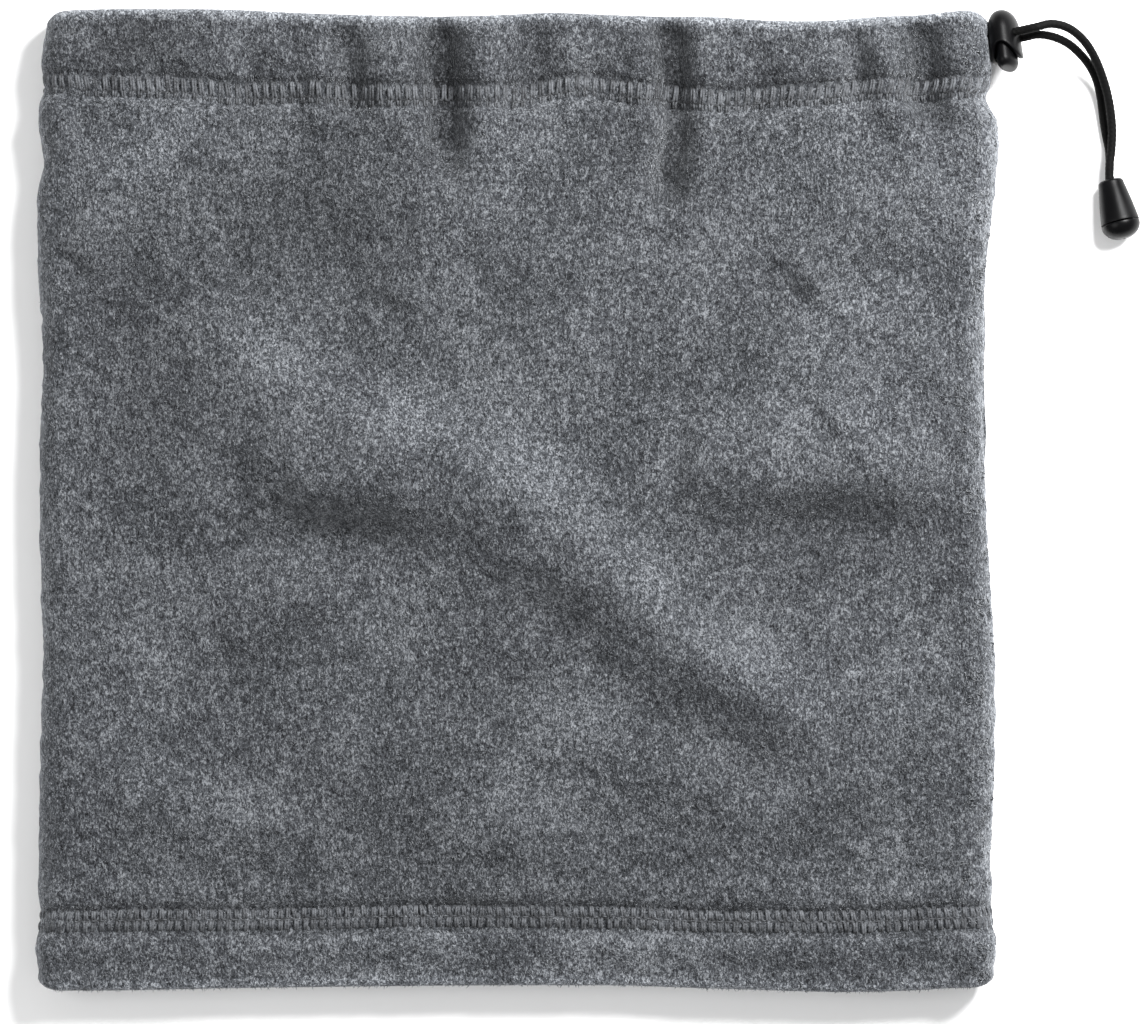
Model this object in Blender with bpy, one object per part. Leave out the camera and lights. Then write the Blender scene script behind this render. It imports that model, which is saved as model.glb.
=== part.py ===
"""Fleece neck gaiter with a drawcord, a spring cord lock and a bell-shaped cord end.

The gaiter lies flat on a table. X runs across its width, Y from its lower hem to its drawcord casing,
and Z up from the table, with the origin under the middle of the tube. Lengths are in millimetres and
are turned into metres where a mesh is made.
"""

import math

import bpy
import bmesh
from mathutils import Matrix, Vector

MM = 0.001
GAP = 0.3                       # clearance between two solids that touch on the real object

# The tube, lying flat
BODY_HALF_WIDTH = 130.0
CASING_HALF_WIDTH = 127.5       # the gathered casing is a little narrower than the tube
HALF_LENGTH = 132.5
THICKNESS = 18.0                # the two layers of cloth with the loose air between them
END_RADIUS = THICKNESS / 2      # of the round fold at each side
PLY = 2.1                       # one thickness of fleece
ARC_STEPS = 10
STRAIGHT_STEPS = 6

# Hems, each turned in once and held by an overlock stitch
STITCH_WIDTH = 6.2
STITCH_DEPTH = 0.9              # how far the stitches pull the cloth in
THREAD = 0.35                   # thickness of the band of thread
CASING_STITCH_LOW = 108.4
HEM_STITCH_HIGH = -110.4
HEM_THICKNESS = 2 * PLY + 0.2
CHANNEL = 3.0                   # the room between the casing's plies, where the cord lies
CASING_THICKNESS = 6.5
CHANNEL_MARGIN = 3.0            # from the channel to the casing's top edge
EDGE_STEPS = 5                  # along each quarter of a hem's round edge

# Side seam, at +X inside the tube
SEAM_REACH = 7.0
SEAM_THICKNESS = 3.8
SEAM_THREAD = 0.4

# Cord
CORD_RADIUS = 1.2
CORD_STEP = 5.0                 # between the points of a cord's tube
CORD_LEVEL = 124.4              # where the drawcord lies in its casing, along Y
WAY_OUT = (4.2, 6.5)            # half the slot where both ends of the drawcord leave it, in Y and Z

# Cord lock, in its own frame: +X along the cords, Z along the plunger and up to the dome
LOCK_CENTRE = Vector((132.6, 125.4, 11.3))
LOCK_TURN = math.radians(12)    # about the vertical
LOCK_PITCH = math.radians(17)   # the cord holes' upward tilt
LOCK_ROLL = math.radians(-20)   # the plunger's end is higher than the dome
LOCK_HALF_DEPTH = 4.2           # along the cords
LOCK_HALF_WIDTH = 6.3           # across the two cords
LOCK_WALL = 1.2
DOME_TOP = 7.6
DOME_START = 1.0
DOME_POWER = 2.4
RIM_MIDDLE = -4.8
RIM_WAVE = 1.8                  # the rim reaches this much lower beside the cord holes
CEILING = 6.2
CEILING_CURVE = [(2.3, 3.9, 0.0), (2.7, 4.7, 0.8), (3.0, 5.1, 2.2)]    # half sizes and depth below it
LIP_ROUND = 0.25                # of the rim's outer edge
DOME_STEPS = 9
CORD_SPACING = 2.6              # from the lock's middle to each cord
CORD_HOLE_RADIUS = 2.2
CORD_HOLE_LEVEL = 0.7
PLUNGER_TOP = 2.6
PLUNGER_END = -9.0
PLUNGER_ROUND = 2.2
PLUNGER_ROUND_STEPS = 5
PLUNGER_CHAMFER = 0.3
NARROW_SHARE = 0.8              # of that rounding across the plunger's narrow way
PLUNGER_TRAVEL = 2.0
SLOT_RADIUS = CORD_RADIUS + GAP
OVAL_STEPS = 32
HOLE_STEPS = 20
SPRING_RADIUS = 2.0
SPRING_WIRE = 0.22
SPRING_TURNS = 3
SPRING_STEPS = 12               # points in one turn

# Bell-shaped cord end, turned about its own Z, which runs from the cord's entry to the cap
BELL_ENTRY = Vector((161.6, 87.0, 3.75))
BELL_DIRECTION = Vector((0.222, -0.963, 0.150)).normalized()
BELL_LENGTH = 12.0
BELL_TOP_RADIUS = 3.5
BELL_BASE_RADIUS = 5.3
BELL_SHOULDER = 0.9
BELL_BORE_RADIUS = 2.9
BELL_BORE_LENGTH = 3.0
BELL_BORE_START = 0.2
BELL_ROOM_RADIUS = 3.9
BELL_ROOM_TAPER = 1.0
CAP_HEIGHT = 4.2
CAP_SPIGOT_RADIUS = 3.5
CAP_SPIGOT_LENGTH = 2.0
KNOT_RADIUS = 3.3
KNOT_HALF_LENGTH = 2.5
KNOT_PLACE = 6.3
KNOT_STEPS = 10
STRAND_OFFSET = 1.35            # of each strand from the bell's axis
STRAND_END = 3.4                # how far each strand goes into the bell
STRAND_LEAD = 0.6               # straight cord before the bell's entry
TURN_STEPS = 28
SHOULDER_STEPS = 6
CAP_STEPS = 9

# The free cord's two strands from the lock, through the air, down to the table and into the bell
UPPER_ROUTE = [
    (144.9, 129.0, 15.4),
    (148.9, 128.3, 14.0),
    (152.3, 126.3, 12.3),
    (155.1, 123.4, 10.4),
    (157.4, 119.6, 8.6),
    (159.2, 115.4, 7.0),
    (160.7, 110.6, 5.8),
    (161.7, 105.4, 5.0),
    (162.1, 100.4, 4.6),
    (161.9, 95.6, 4.6),
    (161.4, 91.4, 4.9),
]
LOWER_ROUTE = [
    (143.4, 126.2, 11.0),
    (146.8, 125.4, 10.2),
    (150.3, 123.7, 8.8),
    (153.5, 121.0, 7.0),
    (156.2, 117.7, 5.2),
    (158.1, 113.8, 3.6),
    (159.2, 109.2, 2.4),
    (159.8, 104.6, 1.7),
    (160.5, 100.0, 1.5),
    (161.4, 95.6, 1.6),
    (161.6, 91.4, 2.0),
]
UPPER_STRAIGHT = 9.8            # straight cord on the free side of the lock's middle
LOWER_STRAIGHT = 7.8
CASING_SIDE = 5.6               # and on the casing's side of it
CORD_JOINT = 1.0                # from a strand's end to the drawcord's, which meets it at a slight angle

FLEECE = ("fleece_grey", (0.125, 0.133, 0.145), 0.95)
SEWING = ("overlock_thread", (0.10, 0.106, 0.117), 0.8)
ELASTIC = ("elastic_cord_black", (0.008, 0.008, 0.008), 0.7)
PLASTIC = ("moulded_black", (0.010, 0.010, 0.011), 0.42)
SPRING_STEEL = ("spring_steel", (0.55, 0.55, 0.56), 0.3)


# Scene and object helpers

def clear_scene():
    for obj in list(bpy.data.objects):
        bpy.data.objects.remove(obj, do_unlink=True)


def material(spec):
    name, colour, roughness = spec
    found = bpy.data.materials.get(name)
    if found:
        return found
    made = bpy.data.materials.new(name)
    made.use_nodes = True
    shader = made.node_tree.nodes["Principled BSDF"]
    shader.inputs["Base Color"].default_value = (*colour, 1.0)
    shader.inputs["Roughness"].default_value = roughness
    shader.inputs["Metallic"].default_value = 1.0 if name == "spring_steel" else 0.0
    return made


def add_object(name, data, spec=None, place=None, parent=None):
    obj = bpy.data.objects.new(name, data)
    bpy.context.scene.collection.objects.link(obj)
    if spec:
        data.materials.append(material(spec))
    if parent:
        obj.parent = parent
    if place:
        obj.matrix_basis = place
    return obj


def add_mesh(name, points, faces, spec=None, place=None, parent=None):
    """A smooth-shaded mesh object from points in millimetres and lists of their indices."""
    mesh = bpy.data.meshes.new(name)
    work = bmesh.new()
    vertices = [work.verts.new(Vector(point) * MM) for point in points]
    for face in faces:
        work.faces.new([vertices[i] for i in face])
    bmesh.ops.recalc_face_normals(work, faces=work.faces)
    work.to_mesh(mesh)
    work.free()
    mesh.shade_smooth()
    mesh.set_sharp_from_angle(angle=math.radians(40))
    return add_object(name, mesh, spec, place, parent)


def add_empty(name, place):
    return add_object(name, None, None, place)


def cut(obj, cutter):
    """Subtracts a helper solid, which is then a hidden guide, from obj."""
    modifier = obj.modifiers.new("cut_" + cutter.name, "BOOLEAN")
    modifier.operation = "DIFFERENCE"
    modifier.solver = "EXACT"
    modifier.object = cutter
    cutter.hide_render = True
    cutter.display_type = "WIRE"


def place_mm(rotation, centre):
    """A placing matrix in metres from a rotation matrix and a centre in millimetres."""
    return Matrix.Translation(centre * MM) @ rotation.to_4x4()


# Shape helpers

def stacked(rings):
    """Points and faces of a closed skin over rings of equal count, capped at both ends."""
    count = len(rings[0])
    points = [point for ring in rings for point in ring]
    faces = []
    for level in range(len(rings) - 1):
        low = level * count
        high = low + count
        for i in range(count):
            after = (i + 1) % count
            faces.append((low + i, low + after, high + after, high + i))
    faces.append(tuple(range(count))[::-1])
    faces.append(tuple(range(len(points) - count, len(points))))
    return points, faces


def flat_tube_line(half_width):
    """The outer line of the flattened tube in X and Z, with the outward normal at each point."""
    reach = half_width - END_RADIUS
    line = []
    for side in (1, -1):
        for i in range(ARC_STEPS):
            angle = math.pi * (0.5 - i / ARC_STEPS) + (0 if side > 0 else math.pi)
            normal = (math.cos(angle), math.sin(angle))
            line.append((side * reach, END_RADIUS, normal))
        for i in range(STRAIGHT_STEPS):
            x = side * reach * (1 - 2 * i / STRAIGHT_STEPS)
            line.append((x, END_RADIUS, (0.0, -side)))
    return line


def flat_tube(name, half_width, profile, spec=None):
    """Sweeps a closed profile of (depth below the outer surface, y) round the flattened tube."""
    line = flat_tube_line(half_width)
    points = []
    for x, z, (across, up) in line:
        for depth, y in profile:
            out = END_RADIUS - depth
            points.append((x + across * out, y, z + up * out))
    count = len(profile)
    faces = []
    for station in range(len(line)):
        here = station * count
        there = (station + 1) % len(line) * count
        for i in range(count):
            after = (i + 1) % count
            faces.append((here + i, here + after, there + after, there + i))
    return add_mesh(name, points, faces, spec)


def folded_edge(thickness, inner, outer, edge):
    """The profile of a hem: plain inside, a stitch recess from inner to outer, a round edge at y = edge."""
    way = 1 if edge > inner else -1
    radius = thickness / 2
    profile = [(STITCH_DEPTH, inner), (STITCH_DEPTH, outer), (0.0, outer + way * STITCH_DEPTH)]
    for i in range(2 * EDGE_STEPS + 1):
        angle = math.pi * i / (2 * EDGE_STEPS)
        profile.append((radius - radius * math.cos(angle), edge - way * radius * (1 - math.sin(angle))))
    profile.append((thickness, inner))
    return profile


def oval(half_x, half_y, level, steps=OVAL_STEPS):
    """A ring of points on an ellipse; level is a height, or a function of the angle round it."""
    ring = []
    for i in range(steps):
        angle = 2 * math.pi * i / steps
        height = level(angle) if callable(level) else level
        ring.append((half_x * math.cos(angle), half_y * math.sin(angle), height))
    return ring


def turned(name, profile, spec, place, parent=None):
    """A solid turned about its own Z from a profile of (radius, z) that starts and ends on the axis."""
    inner = profile[1:-1]
    rings = [oval(radius, radius, z, TURN_STEPS) for radius, z in inner]
    points, faces = stacked(rings)
    return add_mesh(name, points, faces, spec, place, parent)


def turned_shell(name, profile, spec, place, parent=None):
    """A ring-shaped solid turned about its own Z from a closed profile of (radius, z)."""
    count = len(profile)
    points = []
    for i in range(TURN_STEPS):
        angle = 2 * math.pi * i / TURN_STEPS
        points += [(r * math.cos(angle), r * math.sin(angle), z) for r, z in profile]
    faces = []
    for station in range(TURN_STEPS):
        here = station * count
        there = (station + 1) % TURN_STEPS * count
        for i in range(count):
            after = (i + 1) % count
            faces.append((here + i, here + after, there + after, there + i))
    return add_mesh(name, points, faces, spec, place, parent)


def smooth_line(route, step):
    """Points about step apart on the Catmull-Rom curve through a route."""
    ends = [2 * route[0] - route[1], *route, 2 * route[-1] - route[-2]]
    fine = []
    samples = 12
    for a, b, c, d in zip(ends, ends[1:], ends[2:], ends[3:]):
        for i in range(samples):
            t = i / samples
            fine.append(0.5 * (2 * b + (c - a) * t + (2 * a - 5 * b + 4 * c - d) * t ** 2
                               + (3 * b - a - 3 * c + d) * t ** 3))
    fine.append(route[-1])
    lengths = [0.0]
    for a, b in zip(fine, fine[1:]):
        lengths.append(lengths[-1] + (b - a).length)
    count = max(2, round(lengths[-1] / step))
    line, at = [], 0
    for i in range(count + 1):
        along = lengths[-1] * i / count
        while at < len(fine) - 2 and lengths[at + 1] < along:
            at += 1
        share = (along - lengths[at]) / (lengths[at + 1] - lengths[at])
        line.append(fine[at].lerp(fine[at + 1], share))
    return line


def tube(name, line, radius, spec, resolution=2, place=None, parent=None):
    """A round tube with flat ends along a line of points in millimetres."""
    curve = bpy.data.curves.new(name, "CURVE")
    curve.dimensions = "3D"
    curve.bevel_depth = radius * MM
    curve.bevel_resolution = resolution
    curve.use_fill_caps = True
    spline = curve.splines.new("POLY")
    spline.points.add(len(line) - 1)
    for point, at in zip(spline.points, line):
        point.co = (*(at * MM), 1.0)
    return add_object(name, curve, spec, place, parent)


# The cloth

def fleece_body():
    """The single-ply tube between the two hems."""
    low = HEM_STITCH_HIGH + GAP
    high = CASING_STITCH_LOW - GAP
    profile = [(0.0, low), (0.0, high), (PLY, high), (PLY, low)]
    return flat_tube("fleece_body", BODY_HALF_WIDTH, profile, FLEECE)


def top_casing():
    """The top edge turned in to make the drawcord's channel, with the cord's way out at +X."""
    stitch_top = CASING_STITCH_LOW + STITCH_WIDTH
    profile = folded_edge(CASING_THICKNESS, CASING_STITCH_LOW, stitch_top, HALF_LENGTH)
    casing = flat_tube("top_casing", CASING_HALF_WIDTH, profile, FLEECE)
    channel_low = stitch_top + STITCH_DEPTH
    channel_high = HALF_LENGTH - CHANNEL_MARGIN
    channel = [
        (PLY, channel_low),
        (PLY, channel_high),
        (PLY + CHANNEL, channel_high),
        (PLY + CHANNEL, channel_low),
    ]
    cut(casing, flat_tube("channel_cutter", CASING_HALF_WIDTH, channel))
    slot_start = CASING_HALF_WIDTH - PLY - CHANNEL + GAP
    rings = [
        [(x, y + CORD_LEVEL, z + END_RADIUS) for y, z, x in oval(*WAY_OUT, reach)]
        for reach in (slot_start, CASING_HALF_WIDTH + 2)
    ]
    points, faces = stacked(rings)
    cut(casing, add_mesh("cord_way_cutter", points, faces))
    return casing


def bottom_hem():
    stitch_low = HEM_STITCH_HIGH - STITCH_WIDTH
    profile = folded_edge(HEM_THICKNESS, HEM_STITCH_HIGH, stitch_low, -HALF_LENGTH)
    return flat_tube("bottom_hem", BODY_HALF_WIDTH, profile, FLEECE)


def hem_thread(name, half_width, low):
    """The band of overlock stitches in a hem's recess, all the way round."""
    top = STITCH_DEPTH - GAP - THREAD
    bottom = STITCH_DEPTH - GAP
    high = low + STITCH_WIDTH - 2 * GAP
    profile = [(top, low + GAP), (top, high), (bottom, high), (bottom, low + GAP)]
    return flat_tube(name, half_width, profile, SEWING)


def side_seam():
    """The seam's turned-in edge inside the tube at +X, and the thread that binds it."""
    outer = BODY_HALF_WIDTH - PLY - GAP
    inner = outer - SEAM_REACH
    half = SEAM_THICKNESS / 2
    low = HEM_STITCH_HIGH + 2
    high = CASING_STITCH_LOW - 2
    section = [
        (outer, -half),
        (outer, half),
        (inner + half / 2, half),
        (inner, half / 2),
        (inner, -half / 2),
        (inner + half / 2, -half),
    ]
    rings = [[(x, y, z + END_RADIUS) for x, z in section] for y in (low, high)]
    points, faces = stacked(rings)
    add_mesh("side_seam_allowance", points, faces, FLEECE)
    wrap_end = inner + SEAM_REACH * 0.6
    near = half + GAP
    far = near + SEAM_THREAD
    left = inner - GAP
    wrap = [
        (wrap_end, near),
        (left, near),
        (left, -near),
        (wrap_end, -near),
        (wrap_end, -far),
        (left - SEAM_THREAD, -far),
        (left - SEAM_THREAD, far),
        (wrap_end, far),
    ]
    rings = [[(x, y, z + END_RADIUS) for x, z in wrap] for y in (low + 1, high - 1)]
    points, faces = stacked(rings)
    add_mesh("side_seam_thread", points, faces, SEWING)


# The cord

def lock_rotation():
    upright = Matrix.Rotation(math.radians(-90), 3, "X")
    roll = Matrix.Rotation(LOCK_ROLL, 3, "X")
    pitch = Matrix.Rotation(-LOCK_PITCH, 3, "Y")
    turn = Matrix.Rotation(LOCK_TURN, 3, "Z")
    return turn @ pitch @ roll @ upright


def in_lock(point):
    """A point of the lock's frame, in the part's frame, in millimetres."""
    return LOCK_CENTRE + lock_rotation() @ Vector(point)


def bell_rotation():
    return BELL_DIRECTION.to_track_quat("Z", "Y").to_matrix()


def in_bell(height, along):
    """A point at that height above the bell's axis and that far along it."""
    up = (Vector((0, 0, 1)) - BELL_DIRECTION * BELL_DIRECTION.z).normalized()
    return BELL_ENTRY + BELL_DIRECTION * along + up * height


def strand(name, side, straight, route):
    """One of the two free ends of the drawcord; side is -1 for the upper one and 1 for the lower."""
    start = in_lock((-CASING_SIDE, side * CORD_SPACING, 0))
    through = [in_lock((reach, side * CORD_SPACING, 0)) for reach in (-2.0, 2.0, 6.0, straight)]
    inside = [in_bell(-side * STRAND_OFFSET, along) for along in (-STRAND_LEAD, STRAND_END)]
    points = [start, *through, *(Vector(point) for point in route), *inside]
    return tube(name, smooth_line(points, CORD_STEP), CORD_RADIUS, ELASTIC)


def drawcord_line():
    """The drawcord inside the casing, from one end at the lock right round to the other."""
    radius = END_RADIUS - PLY - CHANNEL / 2
    reach = CASING_HALF_WIDTH - END_RADIUS

    def on_fold(side, angle):
        across = side * reach + radius * math.cos(angle)
        return Vector((across, CORD_LEVEL, END_RADIUS + radius * math.sin(angle)))

    def way_out(cord_side):
        """From the straight of one layer to the end that meets the strand."""
        level = END_RADIUS - cord_side * radius
        end = in_lock((-CASING_SIDE - CORD_JOINT, cord_side * CORD_SPACING, 0))
        turns = [on_fold(1, -cord_side * math.radians(degrees)) for degrees in (72, 44)]
        flat = [Vector((reach - back, CORD_LEVEL, level)) for back in (12, 3)]
        return smooth_line([*flat, *turns, end], CORD_STEP / 2)

    fold = [on_fold(-1, math.pi * (0.5 + i / ARC_STEPS)) for i in range(ARC_STEPS + 1)]
    return [*reversed(way_out(-1)), *fold, *way_out(1)]


def casing_cord():
    return tube("drawcord_in_casing", drawcord_line(), CORD_RADIUS, ELASTIC)


# The cord lock

def lock_barrel(frame):
    """The domed cup of the lock, whose rim dips beside each cord hole."""
    def rim(angle):
        return RIM_MIDDLE - RIM_WAVE * math.cos(2 * angle)

    inner_x = LOCK_HALF_DEPTH - LOCK_WALL
    inner_y = LOCK_HALF_WIDTH - LOCK_WALL
    rings = [oval(half_x, half_y, CEILING - depth) for half_x, half_y, depth in CEILING_CURVE]
    rings.append(oval(inner_x, inner_y, DOME_START))
    rings.append(oval(inner_x, inner_y, rim))
    rings.append(oval(LOCK_HALF_DEPTH - LIP_ROUND, LOCK_HALF_WIDTH - LIP_ROUND, rim))
    rings.append(oval(LOCK_HALF_DEPTH, LOCK_HALF_WIDTH, lambda angle: rim(angle) + LIP_ROUND))
    for i in range(DOME_STEPS):
        t = math.sin(0.5 * math.pi * i / DOME_STEPS)
        size = (1 - t ** DOME_POWER) ** (1 / DOME_POWER)
        height = DOME_START + t * (DOME_TOP - DOME_START)
        rings.append(oval(LOCK_HALF_DEPTH * size, LOCK_HALF_WIDTH * size, height))
    points, faces = stacked(rings)
    barrel = add_mesh("lock_barrel", points, faces, PLASTIC, None, frame)
    for side in (-1, 1):
        centre = (side * CORD_SPACING, CORD_HOLE_LEVEL)
        cut(barrel, cross_hole(f"barrel_hole_{side}", centre, CORD_HOLE_RADIUS, 0.0, frame))
    return barrel


def cross_hole(name, centre, radius, stretch, parent):
    """A cutter along the lock's X at a centre in Y and Z, round, or drawn out by stretch up and down."""
    reach = LOCK_HALF_DEPTH + 2
    rings = []
    for x in (-reach, reach):
        ring = []
        for y, z, _ in oval(radius, radius, 0, HOLE_STEPS):
            shift = stretch if z >= 0 else -stretch
            ring.append((x, centre[0] + y, centre[1] + z + shift))
        rings.append(ring)
    points, faces = stacked(rings)
    return add_mesh(name, points, faces, None, None, parent)


def lock_plunger(frame):
    """The oval button that slides in the cup, with a slot for each cord."""
    half_x = LOCK_HALF_DEPTH - LOCK_WALL - GAP
    half_y = LOCK_HALF_WIDTH - LOCK_WALL - GAP
    rings = []
    for i in range(1, PLUNGER_ROUND_STEPS + 1):
        angle = 0.5 * math.pi * i / PLUNGER_ROUND_STEPS
        inset = PLUNGER_ROUND * (1 - math.sin(angle))
        level = PLUNGER_END + PLUNGER_ROUND * (1 - math.cos(angle))
        rings.append(oval(half_x - NARROW_SHARE * inset, half_y - inset, level))
    rings.append(oval(half_x, half_y, PLUNGER_TOP - PLUNGER_CHAMFER))
    rings.append(oval(half_x - PLUNGER_CHAMFER, half_y - PLUNGER_CHAMFER, PLUNGER_TOP))
    points, faces = stacked(rings)
    plunger = add_mesh("lock_plunger", points, faces, PLASTIC, None, frame)
    for side in (-1, 1):
        centre = (side * CORD_SPACING, -PLUNGER_TRAVEL / 2)
        slot = cross_hole(f"plunger_slot_{side}", centre, SLOT_RADIUS, PLUNGER_TRAVEL / 2, frame)
        cut(plunger, slot)
    return plunger


def lock_spring(frame):
    low = PLUNGER_TOP + GAP + SPRING_WIRE
    high = CEILING - GAP - SPRING_WIRE
    count = SPRING_TURNS * SPRING_STEPS
    line = []
    for i in range(count + 1):
        angle = 2 * math.pi * i / SPRING_STEPS
        height = low + (high - low) * i / count
        line.append(Vector((SPRING_RADIUS * math.cos(angle), SPRING_RADIUS * math.sin(angle), height)))
    return tube("lock_spring", line, SPRING_WIRE, SPRING_STEEL, 1, None, frame)


# The cord end

def bell_cone(place):
    """The hollow cone, open at its base, with a rounded shoulder round the cords' entry."""
    profile = []
    for i in range(1, SHOULDER_STEPS):
        angle = 0.5 * math.pi * i / (SHOULDER_STEPS - 1)
        across = BELL_TOP_RADIUS - BELL_SHOULDER * (1 - math.sin(angle))
        profile.append((across, BELL_SHOULDER * (1 - math.cos(angle))))
    inner = [
        (BELL_BASE_RADIUS, BELL_LENGTH),
        (BELL_ROOM_RADIUS, BELL_LENGTH),
        (BELL_ROOM_RADIUS, BELL_BORE_LENGTH + BELL_ROOM_TAPER),
        (BELL_BORE_RADIUS, BELL_BORE_LENGTH),
        (BELL_BORE_RADIUS, BELL_BORE_START),
    ]
    return turned_shell("bell_cone", profile + inner, PLASTIC, place)


def bell_cap(place):
    """The domed cap that closes the cone's base, with the spigot that snaps into it."""
    start = BELL_LENGTH + GAP
    spigot = BELL_LENGTH - CAP_SPIGOT_LENGTH
    profile = [(0, spigot), (CAP_SPIGOT_RADIUS, spigot), (CAP_SPIGOT_RADIUS, start)]
    for i in range(CAP_STEPS):
        angle = 0.5 * math.pi * i / CAP_STEPS
        profile.append((BELL_BASE_RADIUS * math.cos(angle), start + CAP_HEIGHT * math.sin(angle)))
    profile.append((0, start + CAP_HEIGHT))
    return turned("bell_cap", profile, PLASTIC, place)


def cord_knot(place):
    profile = []
    for i in range(KNOT_STEPS + 1):
        angle = math.pi * i / KNOT_STEPS
        profile.append((KNOT_RADIUS * math.sin(angle), KNOT_PLACE - KNOT_HALF_LENGTH * math.cos(angle)))
    return turned("cord_knot", profile, ELASTIC, place)


def main():
    clear_scene()
    fleece_body()
    top_casing()
    bottom_hem()
    hem_thread("top_hem_thread", CASING_HALF_WIDTH, CASING_STITCH_LOW)
    hem_thread("bottom_hem_thread", BODY_HALF_WIDTH, HEM_STITCH_HIGH - STITCH_WIDTH)
    side_seam()
    casing_cord()
    strand("cord_strand_upper", -1, UPPER_STRAIGHT, UPPER_ROUTE)
    strand("cord_strand_lower", 1, LOWER_STRAIGHT, LOWER_ROUTE)
    lock = add_empty("cord_lock_axis", place_mm(lock_rotation(), LOCK_CENTRE))
    lock_barrel(lock)
    lock_plunger(lock)
    lock_spring(lock)
    bell = place_mm(bell_rotation(), BELL_ENTRY)
    bell_cone(bell)
    bell_cap(bell)
    cord_knot(bell)


main()
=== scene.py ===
"""Looks of the fleece neck gaiter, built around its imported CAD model.

Lengths are in millimetres until a mesh is made. The frame is the CAD's: the origin is on the table under
the middle of the tube, X runs across to the cord lock, Y from the lower hem to the casing, and Z up.
"""

import math

import bpy
import numpy as np
from mathutils import Matrix, Vector


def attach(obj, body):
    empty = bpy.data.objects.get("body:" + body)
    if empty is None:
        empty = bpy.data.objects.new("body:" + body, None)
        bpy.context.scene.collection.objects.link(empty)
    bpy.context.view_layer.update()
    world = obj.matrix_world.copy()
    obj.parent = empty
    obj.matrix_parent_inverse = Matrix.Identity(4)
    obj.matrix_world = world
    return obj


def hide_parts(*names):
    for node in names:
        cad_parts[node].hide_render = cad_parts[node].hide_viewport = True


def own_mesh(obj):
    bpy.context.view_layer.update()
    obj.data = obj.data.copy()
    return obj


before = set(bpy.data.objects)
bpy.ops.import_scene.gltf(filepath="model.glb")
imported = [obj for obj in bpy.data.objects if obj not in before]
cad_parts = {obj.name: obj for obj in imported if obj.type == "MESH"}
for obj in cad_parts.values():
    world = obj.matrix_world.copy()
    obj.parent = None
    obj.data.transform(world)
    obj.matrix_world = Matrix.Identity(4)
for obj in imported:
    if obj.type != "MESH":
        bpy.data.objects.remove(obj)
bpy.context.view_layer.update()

MM = 0.001
SEED = 7

# Camera and light
VIEW_CENTRE = (15.3, -3.0)
VIEW_WIDTH = 309.8
VIEW_LEVEL = 9.0                # the height at which the view is VIEW_WIDTH wide
LENS = 300.0
SENSOR = 36.0

# Tube, as in the CAD
THICKNESS = 18.0
END_RADIUS = THICKNESS / 2
HALF_WIDTH = 130.0
HALF_LENGTH = 132.0
OUTLINE_HALF_LENGTH = 132.5     # half the length of the CAD's outline
PLY = 2.1
CHANNEL = 2.4                   # the room in the casing where the drawcord lies
CASING_STITCH = (108.4, 114.6)
HEM_STITCH = (-116.6, -110.4)
TURN_IN = 3.0                   # how far a turned-in ply goes on past its stitches
SEAM_MIDDLE = 124.1
SEAM_EDGE = 121.9

# The tube's outline, as (along the edge, place of the edge)
RIGHT_EDGE = [(-133, 129.6), (-119, 130.0), (-112, 129.2), (-103, 128.9), (-71, 130.0), (-38, 129.8),
              (-6, 127.8), (20, 127.1), (39, 127.0), (59, 127.3), (76, 129.0), (88, 130.4), (97, 131.0),
              (103, 130.3), (107.5, 128.2), (109.5, 127.8), (113, 128.9), (118, 129.2), (126, 128.8),
              (133, 128.2)]
LEFT_EDGE = [(-133, -129.0), (-119, -129.5), (-112, -128.8), (-103, -129.0), (-71, -128.7), (-38, -127.9),
             (-14, -128.6), (15, -128.8), (43, -127.9), (60, -129.0), (72, -129.4), (84, -129.2),
             (92, -127.7), (100, -128.9), (106, -128.6), (110, -127.8), (116, -128.2), (124, -127.2),
             (133, -127.0)]
TOP_EDGE = [(-130, 132.2), (-116, 133.0), (-95, 133.2), (-73, 133.0), (-62, 132.3), (-40, 131.6),
            (-12, 131.4), (-3, 131.8), (7, 132.2), (20, 131.6), (40, 131.3), (57, 131.2), (68, 130.2),
            (89, 130.0), (100, 130.9), (111, 131.4), (122, 132.6), (130, 132.6)]
BOTTOM_EDGE = [(-130, -132.4), (-116, -132.6), (-80, -132.0), (-40, -131.5), (0, -131.2), (30, -131.3),
               (60, -132.2), (90, -133.0), (105, -132.7), (122, -131.8), (130, -131.6)]

# Soft folds of the upper layer: points of the crest, height, reach of its lit side, reach of its shaded side
FOLDS = [
    ([(-82, 42), (-48, 20), (-13, 7), (11, -8), (37, -32), (69, -56), (84, -65)], 5.4, 14, 30),
    ([(-72, 18), (-52, 3), (-22, 0)], 2.6, 12, 11),
    ([(44, 12), (70, 8), (122, 10)], 4.2, 20, 19),
    ([(-122, 62), (-106, 84), (-80, 104)], 3.4, 11, 14),
    ([(-36, 50), (-16, 74), (6, 102)], 3.0, 11, 12),
    ([(76, 56), (96, 76), (116, 92)], 3.8, 13, 11),
    ([(84, 20), (100, 30), (122, 40)], 3.0, 10, 10),
    ([(-82, -40), (-60, -28), (-44, -24)], 2.0, 8, 7),
    ([(-8, -60), (24, -68), (58, -82)], 1.5, 11, 12),
    ([(14, 34), (44, 44), (72, 52)], 1.8, 15, 13),
    ([(-112, -78), (-90, -86), (-56, -92)], 1.8, 12, 12),
    ([(66, -92), (94, -74), (112, -50)], 2.0, 13, 12),
    ([(-60, -60), (-20, -88), (20, -100)], 1.4, 12, 12),
]
FOLD_SCALE = 1.45
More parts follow.
